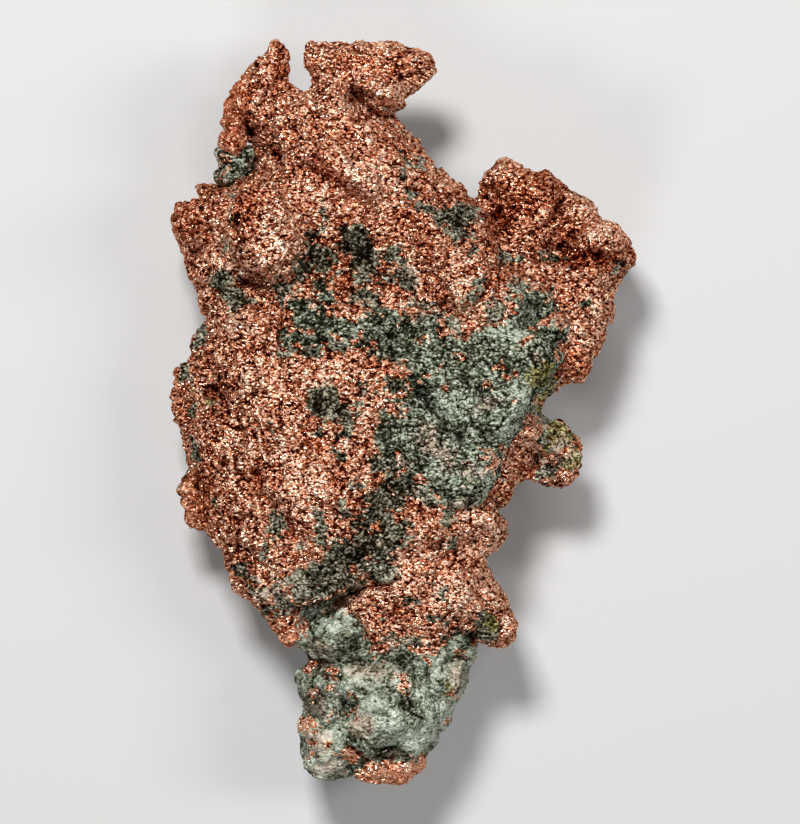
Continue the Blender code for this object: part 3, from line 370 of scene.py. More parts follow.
# Stains of the copper and the rock: darker (partly dark stain, partly painted shade in hollows, under
# the apron and along the rim), paler, yellow-green, brown-pink, redder, golden (partly golden
# copper, partly painted highlight) and rubbed.
DARK_STAIN_AND_SHADE = [
    (-2.0, 8.4, 0.9, 1.1, 0), (-4.2, 7.4, 0.9, 1.2, 0), (2.7, 10.15, 0.8, 0.4, -12),
    (-1.6, 7.0, 1.4, 0.8, 0), (-1.6, -5.6, 1.2, 1.6, 0), (-10.6, 0.0, 0.3, 0.4, 0),
    (-4.3, -8.4, 0.5, 0.7, 10), (-5.0, 5.8, 1.0, 0.7, 0), (-1.4, 3.7, 1.6, 0.6, 0),
    (-9.3, 1.15, 0.25, 0.3, 0), (7.0, 5.2, 0.4, 0.5, 0), (-2.6, 4.6, 1.0, 0.5, 0),
    (-2.3, -7.3, 1.3, 0.6, 0), (-2.35, -11.6, 0.55, 0.6, 0), (-7.5, 9.6, 0.3, 1.2, 0),
    (2.9, -11.25, 0.8, 0.35, 0), (-3.9, -12.35, 0.7, 0.2, 0), (-2.6, -14.8, 0.4, 0.6, 0),
    (-9.1, 6.3, 0.9, 0.5, 0), (-0.8, -16.7, 1.4, 0.4, -5), (-2.0, -17.3, 0.8, 0.4, 0),
    (-3.2, 0.4, 1.3, 0.8, 0), (-0.3, -4.6, 0.8, 1.3, 0), (-3.6, 2.8, 2.0, 0.3, 0),
    (-2.9, 8.4, 1.6, 0.9, 0), (0.2, -11.6, 0.9, 0.5, 0), (-2.6, 6.2, 1.8, 0.4, 0),
    (0.9, 1.2, 0.8, 0.9, 0), (-0.6, -1.6, 0.6, 1.4, 0), (-10.2, 4.0, 0.6, 0.9, 0),
    (-9.9, -3.4, 0.5, 1.4, 0), (0.6, 4.2, 1.3, 0.7, 0), (-3.3, -1.4, 0.7, 1.0, 0),
    (-8.0, -7.4, 0.4, 0.9, 20), (9.2, 7.7, 1.4, 0.4, 0), (-3.4, 15.2, 0.35, 0.35, 0),
    (3.0, 9.1, 0.9, 0.4, 0), (-9.2, -2.6, 0.6, 1.8, 0), (-9.8, 2.6, 0.6, 0.8, 0),
    (4.9, 9.9, 0.35, 0.5, 0), (5.2, 8.9, 0.9, 0.5, 0), (-10.8, 0.8, 0.4, 1.4, 0),
    (-7.8, 6.2, 1.0, 0.3, -20), (1.5, 9.9, 0.5, 0.4, 0), (5.6, 2.9, 0.8, 0.4, 0), (4.2, 1.2, 0.4, 0.5, 0),
    (-3.8, 3.0, 0.8, 0.6, 0), (-3.9, -12.4, 0.9, 0.6, 0), (-4.3, -14.4, 0.6, 0.6, 0),
    (-5.2, 5.2, 1.0, 0.9, 0), (-5.4, 3.4, 0.8, 0.7, 0), (-3.4, 5.4, 1.2, 0.4, 0),
    (-2.6, 3.2, 0.9, 0.4, 0), (6.3, 2.4, 1.2, 0.5, 0), (-1.0, -9.8, 0.6, 0.3, 0),
    (1.0, -10.7, 0.9, 0.3, 0), (-1.2, -12.3, 0.6, 0.7, 0), (0.8, -12.2, 0.9, 0.4, 0),
    (2.6, 9.6, 0.9, 0.7, 0), (2.2, 5.5, 0.6, 0.2, -30), (-8.9, 0.9, 0.3, 1.5, 0),
    (-9.9, 11.0, 0.4, 0.4, 0), (-5.3, -6.0, 0.3, 0.3, 0), (3.4, -0.6, 1.2, 0.5, 0),
    (0.9, -2.3, 0.6, 0.6, 0), (-4.2, 2.8, 1.8, 0.6, 0), (-4.6, 6.3, 1.0, 0.5, 0),
    (-1.35, -10.8, 0.4, 0.5, 0), (0.9, -10.4, 0.6, 0.4, 0), (-10.4, 5.4, 0.7, 1.2, 0),
    (-11.0, 0.4, 0.6, 2.0, 0),
]
PALE = [
    (6.1, 0.1, 0.8, 1.4, 0), (6.5, 4.6, 0.6, 0.3, 20), (-10.0, 3.6, 0.3, 0.5, 0),
    (2.9, -13.6, 0.4, 0.7, 0), (2.8, 4.1, 0.35, 0.5, 0), (3.6, 5.8, 0.4, 0.15, 25),
    (5.5, 3.4, 0.7, 0.5, 0), (-4.95, -8.35, 0.2, 0.8, 0), (6.2, 0.9, 0.5, 1.0, 0),
    (5.6, -0.3, 0.7, 0.7, 0), (2.8, 0.2, 0.8, 0.5, 0), (4.9, -0.9, 0.8, 0.5, 0),
    (-0.3, -8.2, 0.25, 0.15, 0), (4.0, -2.9, 0.5, 0.4, 0), (4.2, 3.9, 0.6, 0.3, 20),
    (1.4, -2.4, 0.7, 0.4, 0), (-0.8, -2.6, 0.5, 0.5, 0), (-3.1, -10.2, 0.5, 0.5, 0),
    (-2.3, -13.2, 0.7, 0.3, 0), (-1.9, -15.4, 0.9, 0.5, 0), (2.6, -12.7, 0.5, 0.4, 0),
    (-3.6, -16.0, 0.7, 0.7, 0), (0.2, -16.2, 1.2, 0.4, 0), (-0.6, -15.2, 0.8, 0.4, 0),
    (2.2, -14.8, 0.5, 0.7, 0), (-3.9, -17.5, 0.8, 0.4, 0), (1.3, -16.0, 0.5, 0.5, 0),
]
OCHRE = [
    (-9.75, 0.6, 0.6, 0.3, 0), (7.2, 1.9, 0.95, 0.6, 20), (-6.5, -6.15, 0.42, 0.26, 0),
    (8.6, -1.9, 0.4, 0.4, 0), (8.1, -1.0, 0.9, 0.8, -20), (8.6, -2.5, 0.5, 0.6, 0),
    (7.35, -1.65, 0.25, 0.2, 0), (7.2, 0.6, 0.5, 0.7, 0), (0.95, -10.9, 0.5, 0.35, 0),
    (2.4, -13.75, 0.42, 0.5, 0), (4.7, -10.3, 0.6, 0.6, 0), (-7.9, -8.3, 0.4, 0.4, 0),
    (-4.8, 1.9, 0.2, 0.15, 0), (-7.0, 5.8, 0.5, 0.2, 0), (1.25, -11.95, 0.5, 0.25, 0),
    (-3.4, 18.0, 0.5, 0.3, 0), (-0.2, -11.2, 0.5, 0.3, 0), (-8.9, -4.6, 0.4, 0.4, 0),
]
HAZE = [
    (-8.9, 12.4, 0.3, 0.8, 0), (8.1, -1.9, 0.6, 0.7, 0), (-5.7, 5.9, 0.4, 0.3, 0),
    (-2.4, -7.9, 0.6, 0.3, -30), (-4.2, -12.5, 0.8, 0.4, 0), (-6.3, -9.0, 1.0, 0.4, 0),
    (2.4, -2.6, 0.4, 0.25, 0), (3.9, -3.0, 0.6, 0.2, 40), (4.4, 0.5, 0.5, 0.25, 20),
    (1.4, -0.9, 0.5, 0.3, -30), (1.7, -1.8, 1.0, 0.45, -30), (-1.1, -6.4, 0.4, 0.3, 0),
    (0.2, -2.4, 0.5, 0.3, 0), (3.5, -2.8, 0.5, 0.25, 0), (0.6, 6.8, 0.6, 0.6, 0), (6.7, 2.7, 0.3, 0.3, 0),
    (-2.25, -8.4, 0.45, 0.2, 0), (-3.95, -11.6, 0.6, 0.4, 0), (-0.4, -11.3, 0.8, 0.5, 0),
    (-1.5, -12.85, 1.3, 0.5, 0), (0.6, -10.3, 0.3, 0.3, 0), (-7.2, -8.2, 0.5, 0.4, 0),
    (-6.0, -8.0, 0.4, 0.3, 0), (0.9, 4.9, 0.6, 0.5, 0), (-1.9, -15.6, 0.6, 0.6, 0),
    (-0.3, -17.0, 0.6, 0.3, 0), (-4.2, -14.4, 0.6, 0.7, 0), (-4.1, -16.4, 0.6, 0.7, 0),
    (2.9, -13.0, 0.4, 0.9, 0), (-3.5, -17.6, 0.8, 0.4, 0), (1.0, -4.9, 0.6, 0.3, 0),
    (3.4, -4.5, 0.9, 0.3, 0),
]
RUDDY = [
    (-2.4, 14.1, 0.9, 0.4, 30), (-3.0, 6.8, 0.5, 0.5, 0), (9.6, 7.6, 1.2, 0.5, 0),
    (6.5, 10.8, 1.6, 1.2, 0), (8.5, 9.3, 0.9, 0.7, 0), (5.1, 9.5, 0.6, 0.7, 0), (-6.8, -3.0, 0.8, 0.5, 0),
    (4.6, 7.2, 0.5, 0.9, 20), (-8.1, 15.6, 0.5, 1.8, -10), (-0.6, 17.2, 2.0, 0.5, 0),
    (-6.0, 17.2, 0.5, 1.0, 0), (-3.6, 11.9, 1.6, 0.4, -40), (-0.5, 2.0, 1.0, 0.4, -15),
    (-0.9, 13.6, 1.2, 0.4, -40), (8.6, 2.6, 0.8, 0.8, 0), (4.5, -4.2, 1.0, 0.7, 0),
    (-9.6, -4.6, 0.5, 1.2, 0), (-10.4, 9.6, 0.8, 0.9, 0), (0.3, -9.9, 1.4, 0.3, 0),
    (6.0, -2.9, 0.7, 0.6, 0), (1.2, 8.5, 0.5, 0.8, 0), (-4.2, -1.6, 1.0, 0.9, 0),
    (-3.0, -2.6, 0.9, 0.6, 0), (-7.4, 10.4, 0.5, 1.2, 0), (3.4, -7.4, 1.2, 0.5, 0),
    (0.6, 9.9, 0.7, 0.6, -40),
]
WORN = [
    (-0.3, -18.1, 1.9, 0.6, 0), (1.0, -17.6, 0.5, 0.5, 0), (-10.5, -4.4, 0.5, 1.3, 8),
    (-11.1, 1.6, 0.4, 1.2, 0), (-8.3, 15.4, 0.4, 1.8, -12), (-4.6, -15.6, 0.6, 0.4, 0),
    (-2.5, -17.0, 0.5, 0.3, 0), (9.0, -2.0, 0.3, 1.2, 0), (5.2, -11.4, 0.6, 0.3, 0),
    (-5.6, -11.2, 0.6, 0.5, 0),
]
# Golden: brighter, paler copper, partly golden copper and partly a painted highlight where the face catches
# the light.
GOLDEN_AND_HIGHLIGHT = [
    (-2.9, 14.6, 0.7, 0.9, -30), (-1.9, 12.2, 1.2, 0.5, -20), (-3.6, 10.9, 0.5, 0.35, -30),
    (-3.4, 1.9, 2.0, 0.4, 0), (-1.5, -0.6, 0.6, 1.1, 0), (-3.4, -2.8, 1.4, 0.7, 0),
    (10.2, 8.8, 0.8, 0.5, 0), (1.5, -6.2, 1.8, 0.3, 12), (-6.2, 9.2, 0.8, 1.2, 0),
    (4.3, -5.6, 0.8, 0.6, 0), (-7.6, 4.2, 1.0, 0.6, -30), (1.4, 9.6, 0.7, 1.0, 30),
    (3.0, 6.6, 0.8, 0.9, 0), (9.6, 5.4, 0.7, 1.0, 0), (5.0, -8.6, 0.7, 0.8, 0),
    (-1.4, -8.4, 0.5, 0.25, 0), (1.4, -8.0, 2.0, 0.6, 0), (-6.9, 11.2, 0.7, 0.4, 0),
    (2.6, -7.6, 1.6, 0.5, 15), (3.6, -9.7, 1.2, 0.5, 0), (-1.2, 16.6, 1.0, 0.5, 0),
    (-6.6, 7.4, 1.0, 0.7, 0), (-7.3, -2.3, 1.2, 0.9, 0), (-1.0, 15.3, 0.8, 0.7, 0),
    (-1.8, 14.0, 0.8, 0.6, 0), (-4.4, -3.4, 1.6, 0.9, 0), (4.4, 7.4, 0.5, 0.8, 0),
    (5.0, -3.2, 0.9, 0.7, 0), (4.2, -4.9, 0.9, 0.5, 0), (-0.4, 11.0, 1.2, 0.5, -40),
    (6.6, -1.4, 0.7, 0.6, 0), (7.4, 9.8, 0.7, 0.5, 0), (8.9, 9.6, 0.9, 0.5, 0), (-5.2, 8.4, 0.6, 0.8, 0),
    (-3.2, -1.2, 0.8, 0.6, 0), (-7.0, 1.4, 1.2, 0.8, -30), (-5.4, -6.6, 0.5, 0.3, 0),
    (2.0, -8.6, 1.5, 0.4, 0), (-0.2, 17.7, 1.2, 0.3, 0), (1.0, 17.0, 0.5, 0.4, 0),
    (-2.3, 10.4, 0.4, 0.3, 0), (-6.8, 7.2, 1.2, 0.7, 0), (3.5, 5.4, 0.8, 0.6, 0),
    (-5.5, -2.0, 1.4, 1.0, 0), (6.4, -1.0, 0.7, 0.8, 0), (-2.4, -9.2, 1.2, 0.5, 10),
    (0.2, -7.0, 0.8, 0.6, 0), (8.6, 3.4, 0.7, 1.0, 0), (-4.4, -10.2, 0.8, 0.6, 0),
    (4.8, -10.6, 0.6, 0.6, 0), (-3.2, -1.6, 1.2, 1.2, 0), (-4.6, -15.6, 0.7, 0.5, 0),
    (-2.5, -17.0, 0.6, 0.4, 0), (0.2, -13.3, 0.4, 0.6, 0), (-0.6, 15.7, 0.9, 0.6, 0),
    (2.2, -8.6, 2.2, 1.3, 0), (4.0, -6.6, 1.2, 0.9, 0), (-3.6, 2.2, 2.2, 0.6, 0),
    (-3.4, -2.4, 1.6, 1.4, 0), (1.4, -6.4, 1.6, 0.5, 10), (-5.2, -3.9, 1.2, 0.6, 0),
    (-1.8, 11.4, 1.6, 0.8, -40), (0.6, -10.2, 2.4, 0.5, 0),
]
STREAKED = [(-7.0, 0.5, 3.0, 6.5, 0), (-3.0, -3.0, 2.6, 2.6, 0)]
STAINS_AND_PAINTED_LIGHT = {"grave": DARK_STAIN_AND_SHADE, "pale": PALE, "ochre": OCHRE, "haze": HAZE, "ruddy": RUDDY, "golden": GOLDEN_AND_HIGHLIGHT,
          "worn": WORN}

# Cracks: depth, half width and the line. Pits: middle x, y, radius and depth.
COPPER_CRACKS = [
    (0.22, 0.10, [(-4.5, 12.4), (-3.25, 11.5), (-2.25, 10.8), (-1.75, 9.9), (-1.4, 9.2)]),
    (0.5, 0.12, [(-2.4, 15.95), (-1.9, 15.5), (-1.5, 15.2), (-0.9, 14.8), (0.0, 14.6)]),
    (0.45, 0.12, [(-4.9, -9.8), (-4.2, -9.65), (-3.5, -9.3), (-2.2, -9.0), (-1.8, -8.7), (0.0, -8.3)]),
    (0.4, 0.13, [(-8.8, 2.05), (-8.75, 1.15), (-8.65, 0.3)]), (0.3, 0.09, [(-9.9, 0.0), (-8.9, 0.05)]),
    (0.3, 0.10, [(-9.6, 1.2), (-9.0, 1.1)]),
    (0.25, 0.13, [(-8.3, 6.9), (-7.3, 6.35), (-6.3, 6.3), (-5.2, 6.8), (-4.6, 7.6), (-4.2, 9.0)]),
    (0.35, 0.12, [(-6.25, -4.7), (-5.35, -5.1), (-5.25, -5.5)]),
    (0.35, 0.12, [(6.15, -1.7), (7.0, -2.2)]), (0.25, 0.09, [(7.0, -0.5), (7.1, -1.1), (7.6, -1.5)]),
    (0.25, 0.12, [(8.3, 6.7), (8.9, 6.2), (9.2, 5.2)]), (0.3, 0.12, [(4.5, 6.9), (4.4, 6.3), (3.9, 5.7)]),
    (0.25, 0.12, [(-7.3, 16.2), (-7.5, 15.2), (-7.6, 14.4)]), (0.3, 0.10, [(-0.2, 16.7), (0.9, 16.9)]),
    (0.5, 0.16, [(8.15, 10.8), (7.7, 10.0), (7.3, 9.4), (6.6, 8.9)]),
    (0.4, 0.30, [(8.2, 8.3), (9.0, 7.9), (10.0, 7.7)]),
    (0.3, 0.12, [(1.0, -6.75), (1.8, -6.6), (2.2, -6.2)]), (0.3, 0.10, [(-10.8, 8.0), (-9.9, 8.25)]),
    (0.25, 0.12, [(-8.0, 11.6), (-7.9, 10.2), (-8.2, 8.4)]),
]
COPPER_PITS = [
    (-6.15, 12.9, 0.22, 0.6), (-6.3, 10.4, 0.12, 0.3), (-7.35, 14.15, 0.22, 1.2),
    (-2.45, 17.1, 0.13, 0.4), (-3.6, 15.25, 0.12, 0.3), (-7.0, -2.9, 0.13, 0.25),
    (-6.55, -3.4, 0.15, 0.3), (-5.75, -3.05, 0.13, 0.3), (-6.65, 3.35, 0.1, 0.3), (-10.6, 0.0, 0.2, 0.35),
    (-9.3, 1.2, 0.15, 0.3), (4.2, -5.7, 0.12, 0.3), (3.8, -6.3, 0.13, 0.3), (4.9, 9.9, 0.3, 0.5),
    (3.65, 10.35, 0.18, 0.4), (2.0, 11.6, 0.12, 0.3),
]
# Where the edge of the copper stands a little out from the solid or in from it.
COPPER_NUDGES = [
    (1.5, 17.0, 0.9, 0.35, -0.1), (-8.7, 13.5, 0.5, -0.25, -0.1), (5.3, -6.2, 0.5, 0.2, 0.0),
    (-6.3, 17.8, 0.9, 0.28, 0.0), (-4.75, 16.2, 0.45, 0.0, -0.35), (-0.2, 15.2, 0.5, 0.5, 0.0),
    (0.5, 16.1, 0.4, 0.0, -0.25), (-8.2, 13.6, 0.5, 0.2, -0.7), (-10.5, 10.9, 0.45, 0.4, -0.15),
    (-11.3, 10.0, 0.9, 0.17, 0.0), (3.7, 10.7, 0.4, 0.0, -0.4), (4.2, 11.6, 0.4, -0.15, 0.0),
    (4.7, 12.3, 0.35, 0.1, -0.15), (6.75, 12.2, 0.8, 0.0, -0.15), (11.5, 7.7, 0.6, 0.12, 0.0),
    (10.6, 5.1, 1.2, 0.1, 0.0), (9.25, 1.75, 0.6, 0.2, -0.2), (-9.75, 4.7, 0.4, 0.3, 0.0),
    (-10.25, 3.8, 0.4, -0.25, 0.0), (-11.3, 0.3, 0.7, -0.32, 0.0), (-9.55, -5.6, 0.4, 0.12, 0.4),
    (4.9, -4.85, 0.3, -0.28, 0.0), (8.2, 10.9, 0.2, -0.1, -0.18), (10.05, 9.6, 0.2, -0.08, -0.15),
]
# Mounds and hollows of the face: middle x, y, half sizes, turn and height.
COPPER_MOUNDS = [
    (-7.4, -2.6, 1.3, 1.0, 0, 0.6), (-7.3, 1.4, 0.9, 0.7, 0, 0.35), (-7.6, 4.6, 1.2, 0.6, -20, 0.35),
    (-2.9, 14.6, 0.7, 1.1, -30, 0.25), (-3.6, 12.3, 1.6, 0.4, -40, 0.35), (-0.6, 15.6, 0.8, 0.9, 0, 1.0),
    (-1.5, 15.9, 0.5, 0.4, -30, 0.5), (-0.9, 15.5, 0.5, 0.4, -30, 0.4), (-1.0, 17.8, 2.0, 0.4, 0, 0.45),
    (-2.3, 16.3, 0.7, 0.4, 0, 0.5), (-4.6, 14.0, 0.5, 1.4, -20, 0.3), (0.6, 17.4, 1.2, 0.6, 0, 0.35),
    (-8.0, 15.4, 0.4, 1.6, -10, 0.35), (7.3, -1.6, 1.5, 0.35, -35, 0.4), (6.6, -1.0, 0.7, 0.8, 0, 0.8),
    (5.0, -3.4, 0.8, 0.8, 0, 0.6), (4.0, -4.9, 0.9, 0.5, 0, 0.4), (1.5, -6.1, 1.8, 0.2, 12, 0.3),
    (-6.8, 11.3, 1.0, 0.6, 0, 0.4), (-5.2, 9.3, 0.6, 1.4, 0, 0.5), (-6.3, 7.0, 1.1, 0.8, 0, 0.6),
    (4.3, -5.8, 0.9, 0.7, 0, 0.3), (6.2, 11.1, 1.0, 0.8, 0, 0.25), (8.7, 9.6, 0.8, 0.8, 0, 0.5),
    (10.2, 8.3, 0.9, 0.7, 0, 0.45), (7.6, 9.9, 0.6, 0.8, 30, 0.45), (-10.2, 9.7, 0.9, 0.7, 0, 0.35),
    (-5.2, 12.6, 1.0, 0.5, -20, 0.3), (3.2, -9.8, 1.2, 0.4, 0, 0.3), (4.5, 7.2, 0.5, 0.9, 20, 0.5),
    (-2.2, -9.4, 1.4, 0.5, 10, 0.4), (5.4, -9.6, 0.6, 0.7, 0, 0.25), (-4.2, -8.9, 1.5, 0.5, 18, -0.75),
    (-4.1, -7.9, 0.9, 0.5, 15, 0.25), (-1.6, 9.6, 0.5, 0.9, 20, 0.3),
]


def copper_relief(points):
    """The grain of the copper: its height over the solid, and the painted shade of its gaps and clefts."""
    bent = strayed(strayed(points, 0.7, 1.3, 54), 0.35, 0.5, 51)
    knob, knob_gap, knob_own, knob_lean = grains(bent, 1.05, 3)
    lump, lump_gap, lump_own, _ = grains(bent, 0.62, 7)
    grain, gap, own, lean = grains(strayed(points, 0.3, 0.5, 51), 0.33, 11)
    drawn = np.stack([bent @ (0.25, -0.2, 0.2), bent @ (0.62, 0.78, 0.0), bent[:, 2]], axis=1)
    streak = veins(drawn, 0.55, 24, 0.86) * patches(points, STREAKED)
    vein = veins(bent, 0.9, 23, 0.92) * ramp(cloud(points, 1.2, 25), 0.4, 0.65)
    cleft = (1 - ramp(knob_gap, 0.0, 0.11)) * ramp(cloud(points, 1.1, 26), 0.35, 0.6)
    height = 0.24 * (cloud(points, 1.7, 21) - 0.5)
    height += 0.22 * knob_lean + 0.20 * (0.55 - knob) * (0.4 + knob_own)
    height += 0.12 * lean + 0.26 * (0.45 - grain ** 2) * (0.4 + own)
    height += 0.25 * (0.5 - lump ** 2) * (0.3 + lump_own)
    height -= 0.08 * vein + 0.12 * cleft + 0.07 * streak
    # Painted shade: darker the deeper a point lies in a gap between grains, a cleft, a vein or a streak.
    pit = 0.32 * (1 - ramp(gap, 0.0, 0.22)) + 0.34 * (1 - ramp(lump_gap, 0.0, 0.14))
    pit += 0.4 * cleft + 0.4 * vein + 0.4 * streak
    return height, pit


copper = fine_copy("copper_mass", "copper", GRID, MELT)
melt_under(copper, UNDER_MELT)
thin_back(copper, COPPER_TRIANGLES)
at, out = nudged(coords(copper.data), COPPER_NUDGES), normals(copper.data)
face = ramp(at[:, 2], FACE_LEVEL - 1.5, FACE_LEVEL) * frontal(out)
upward = level(out) * face
near_rock = np.minimum(clearance(at, "face_rock"), clearance(at, "tail_rock"))
height, pit = copper_relief(at)
cut = carved(at, upward, COPPER_CRACKS, COPPER_PITS)
height += 0.12 * (1 - ramp(near_rock, 0.2, 0.9))
flank = (1 - ramp(at[:, 2], FACE_LEVEL - 1.0, FACE_LEVEL + 1.5)) * (0.4 + 0.6 * ramp(-out[:, 2], -0.3, 0.4))
height += flank * (1.1 * (cloud(at, 2.6, 27) - 0.5) + 0.6 * (cloud(at, 1.2, 28) - 0.5))
lift = mounds(at, COPPER_MOUNDS) * upward - cut
move_to(copper.data, at + out * height[:, None] + np.outer(lift, (0, 0, 1)))
film = np.maximum(patches(at, GREEN_FILM) * face, seam_film(at, near_rock, 0.78, 62))
film = np.maximum(film, patches(at, MINGLED) * face * (0.5 + 2.4 * (cloud(at, 0.55, 63) - 0.5)))
strewn = ramp(cloud(at, 2.2, 61), 0.5, 0.75) + 0.5 * (cloud(at, 0.6, 64) - 0.5)
film = np.maximum(film, 0.85 * strewn * (1 - face))
film = np.minimum(film, 1 - patches(at, SPECKS) * face)
# The painted shade of the gaps, deepened in the carved cracks and pits, goes to the material with the
# stains.
keep(copper.data, stains_and_painted_light(at, face) | {"pit": pit + 1.2 * cut, "metal": 1 - film})
to_metres(copper)


class Sum:
    """A socket that takes part in Python sums, each of which adds a Math node."""

    def __init__(self, look, socket):
        self.look, self.socket = look, socket

    def math(self, operation, *others):
        slots = {f"_{place}": value for place, value in enumerate((self, *others))}
        return self.look.node("Math", {"operation": operation}, **slots)

    def __add__(self, other):
        return self.math("ADD", other)

    def __sub__(self, other):
        return self.math("SUBTRACT", other)

    def __rsub__(self, other):
        return self * -1 + other

    def __mul__(self, other):
        return self.math("MULTIPLY", other)

    __radd__, __rmul__ = __add__, __mul__

    def clamped(self):
        """The sum held between 0 and 1."""
        return self.look.node("Math", {"operation": "ADD", "use_clamp": True}, _0=self, _1=0.0)

    def step(self, low, high):
        """0 below low, 1 above high and smooth between."""
        return self.look.node("MapRange", {"interpolation_type": "SMOOTHSTEP"}, output="Result",
                              Value=self, From_Min=low, From_Max=high)


class Finish:
    """A material under construction."""

    def __init__(self, name):
        self.material = bpy.data.materials.new(name)
        self.material.use_nodes = True
        self.tree = self.material.node_tree
        self.shader = self.tree.nodes["Principled BSDF"]

    def node(self, kind, settings=None, output=0, **sockets):
        """Adds a node with its settings, then the values or links of its named or numbered sockets."""
        made = self.tree.nodes.new("ShaderNode" + kind)
        for key, value in (settings or {}).items():
            if key == "stops":
                self.put_stops(made.color_ramp.elements, value)
            else:
                setattr(made, key, value)
        for key, value in sockets.items():
            self.set(made.inputs[int(key[1:]) if key[1:].isdigit() else key.replace("_", " ")], value)
        return Sum(self, made.outputs[output])

    def put_stops(self, stops, tones):
        """Sets a ramp's stops, of which it has two to begin with: each a place and a colour."""
        for place, (where, colour) in enumerate(tones):
            stop = stops[place] if place < 2 else stops.new(where)
            stop.position, stop.color = where, (*colour, 1.0)

    def set(self, socket, value):
        if isinstance(value, Sum):
            self.tree.links.new(value.socket, socket)
        else:
            socket.default_value = value

    def field(self, name):
        """The numbers that keep() stored under the name."""
        return self.node("Attribute", {"attribute_name": name}, output="Fac")

    def noise(self, where, per_mm, detail=2.0, output="Fac"):
        return self.node("TexNoise", output=output, Vector=where, Scale=per_mm / MM, Detail=detail)

    def cells(self, where, per_mm):
        """Distance to the middle of the nearest cell, the cell's own number and its own lean."""
        near = self.node("TexVoronoi", output="Distance", Vector=where, Scale=per_mm / MM)
        colour = Sum(self, near.socket.node.outputs["Color"])
        lean = self.vector("SUBTRACT", _0=colour, _1=(0.5, 0.5, 0.5))
        return near, self.node("SeparateColor", Color=colour), lean

    def seams(self, where, per_mm):
        """Distance to the nearest seam between cells."""
        return self.node("TexVoronoi", {"feature": "DISTANCE_TO_EDGE"}, output="Distance",
                         Vector=where, Scale=per_mm / MM)

    def shades(self, share, tones):
        """The colour that the share has in a row of tones."""
        return self.node("ValToRGB", {"stops": tones}, output="Color", Fac=share)

    def blend(self, share, first, second):
        """The first colour where the share is 0 and the second where it is 1."""
        return self.node("Mix", {"data_type": "RGBA"}, output=2, _0=share, _6=first, _7=second)

    def vector(self, operation, **sockets):
        return self.node("VectorMath", {"operation": operation}, **sockets)


COPPER_TONES = [(0.0, (0.006, 0.0006, 0.0001)), (0.2, (0.115, 0.014, 0.003)), (0.42, (0.39, 0.125, 0.055)),
                (0.66, (0.77, 0.395, 0.25)), (0.97, (0.98, 0.80, 0.63))]
RUDDY_TONES = [(0.0, (0.006, 0.0006, 0.0001)), (0.25, (0.13, 0.014, 0.002)), (0.5, (0.41, 0.097, 0.033)),
               (0.75, (0.75, 0.31, 0.17)), (1.0, (0.98, 0.70, 0.50))]
FILM_TONES = [(0.02, (0.003, 0.002, 0.0008)), (0.26, (0.046, 0.041, 0.024)), (0.52, (0.175, 0.163, 0.115)),
              (0.95, (0.50, 0.48, 0.37))]
DARK_TONES = [(0.04, (0.002, 0.002, 0.0008)), (0.32, (0.032, 0.036, 0.021)), (0.58, (0.135, 0.152, 0.101)),
              (0.96, (0.46, 0.50, 0.40))]
PALE_TONES = [(0.02, (0.006, 0.006, 0.003)), (0.25, (0.085, 0.094, 0.060)), (0.50, (0.28, 0.31, 0.235)),
              (0.9, (0.61, 0.655, 0.55))]
OCHRE_TONES = [(0.05, (0.008, 0.005, 0.001)), (0.38, (0.095, 0.077, 0.022)), (0.85, (0.44, 0.39, 0.17))]
HAZE_TONES = [(0.05, (0.012, 0.007, 0.004)), (0.35, (0.17, 0.12, 0.082)), (0.8, (0.62, 0.48, 0.38))]
WORN_TONE = 0.62     # the place in the copper's tones that a rubbed surface comes to


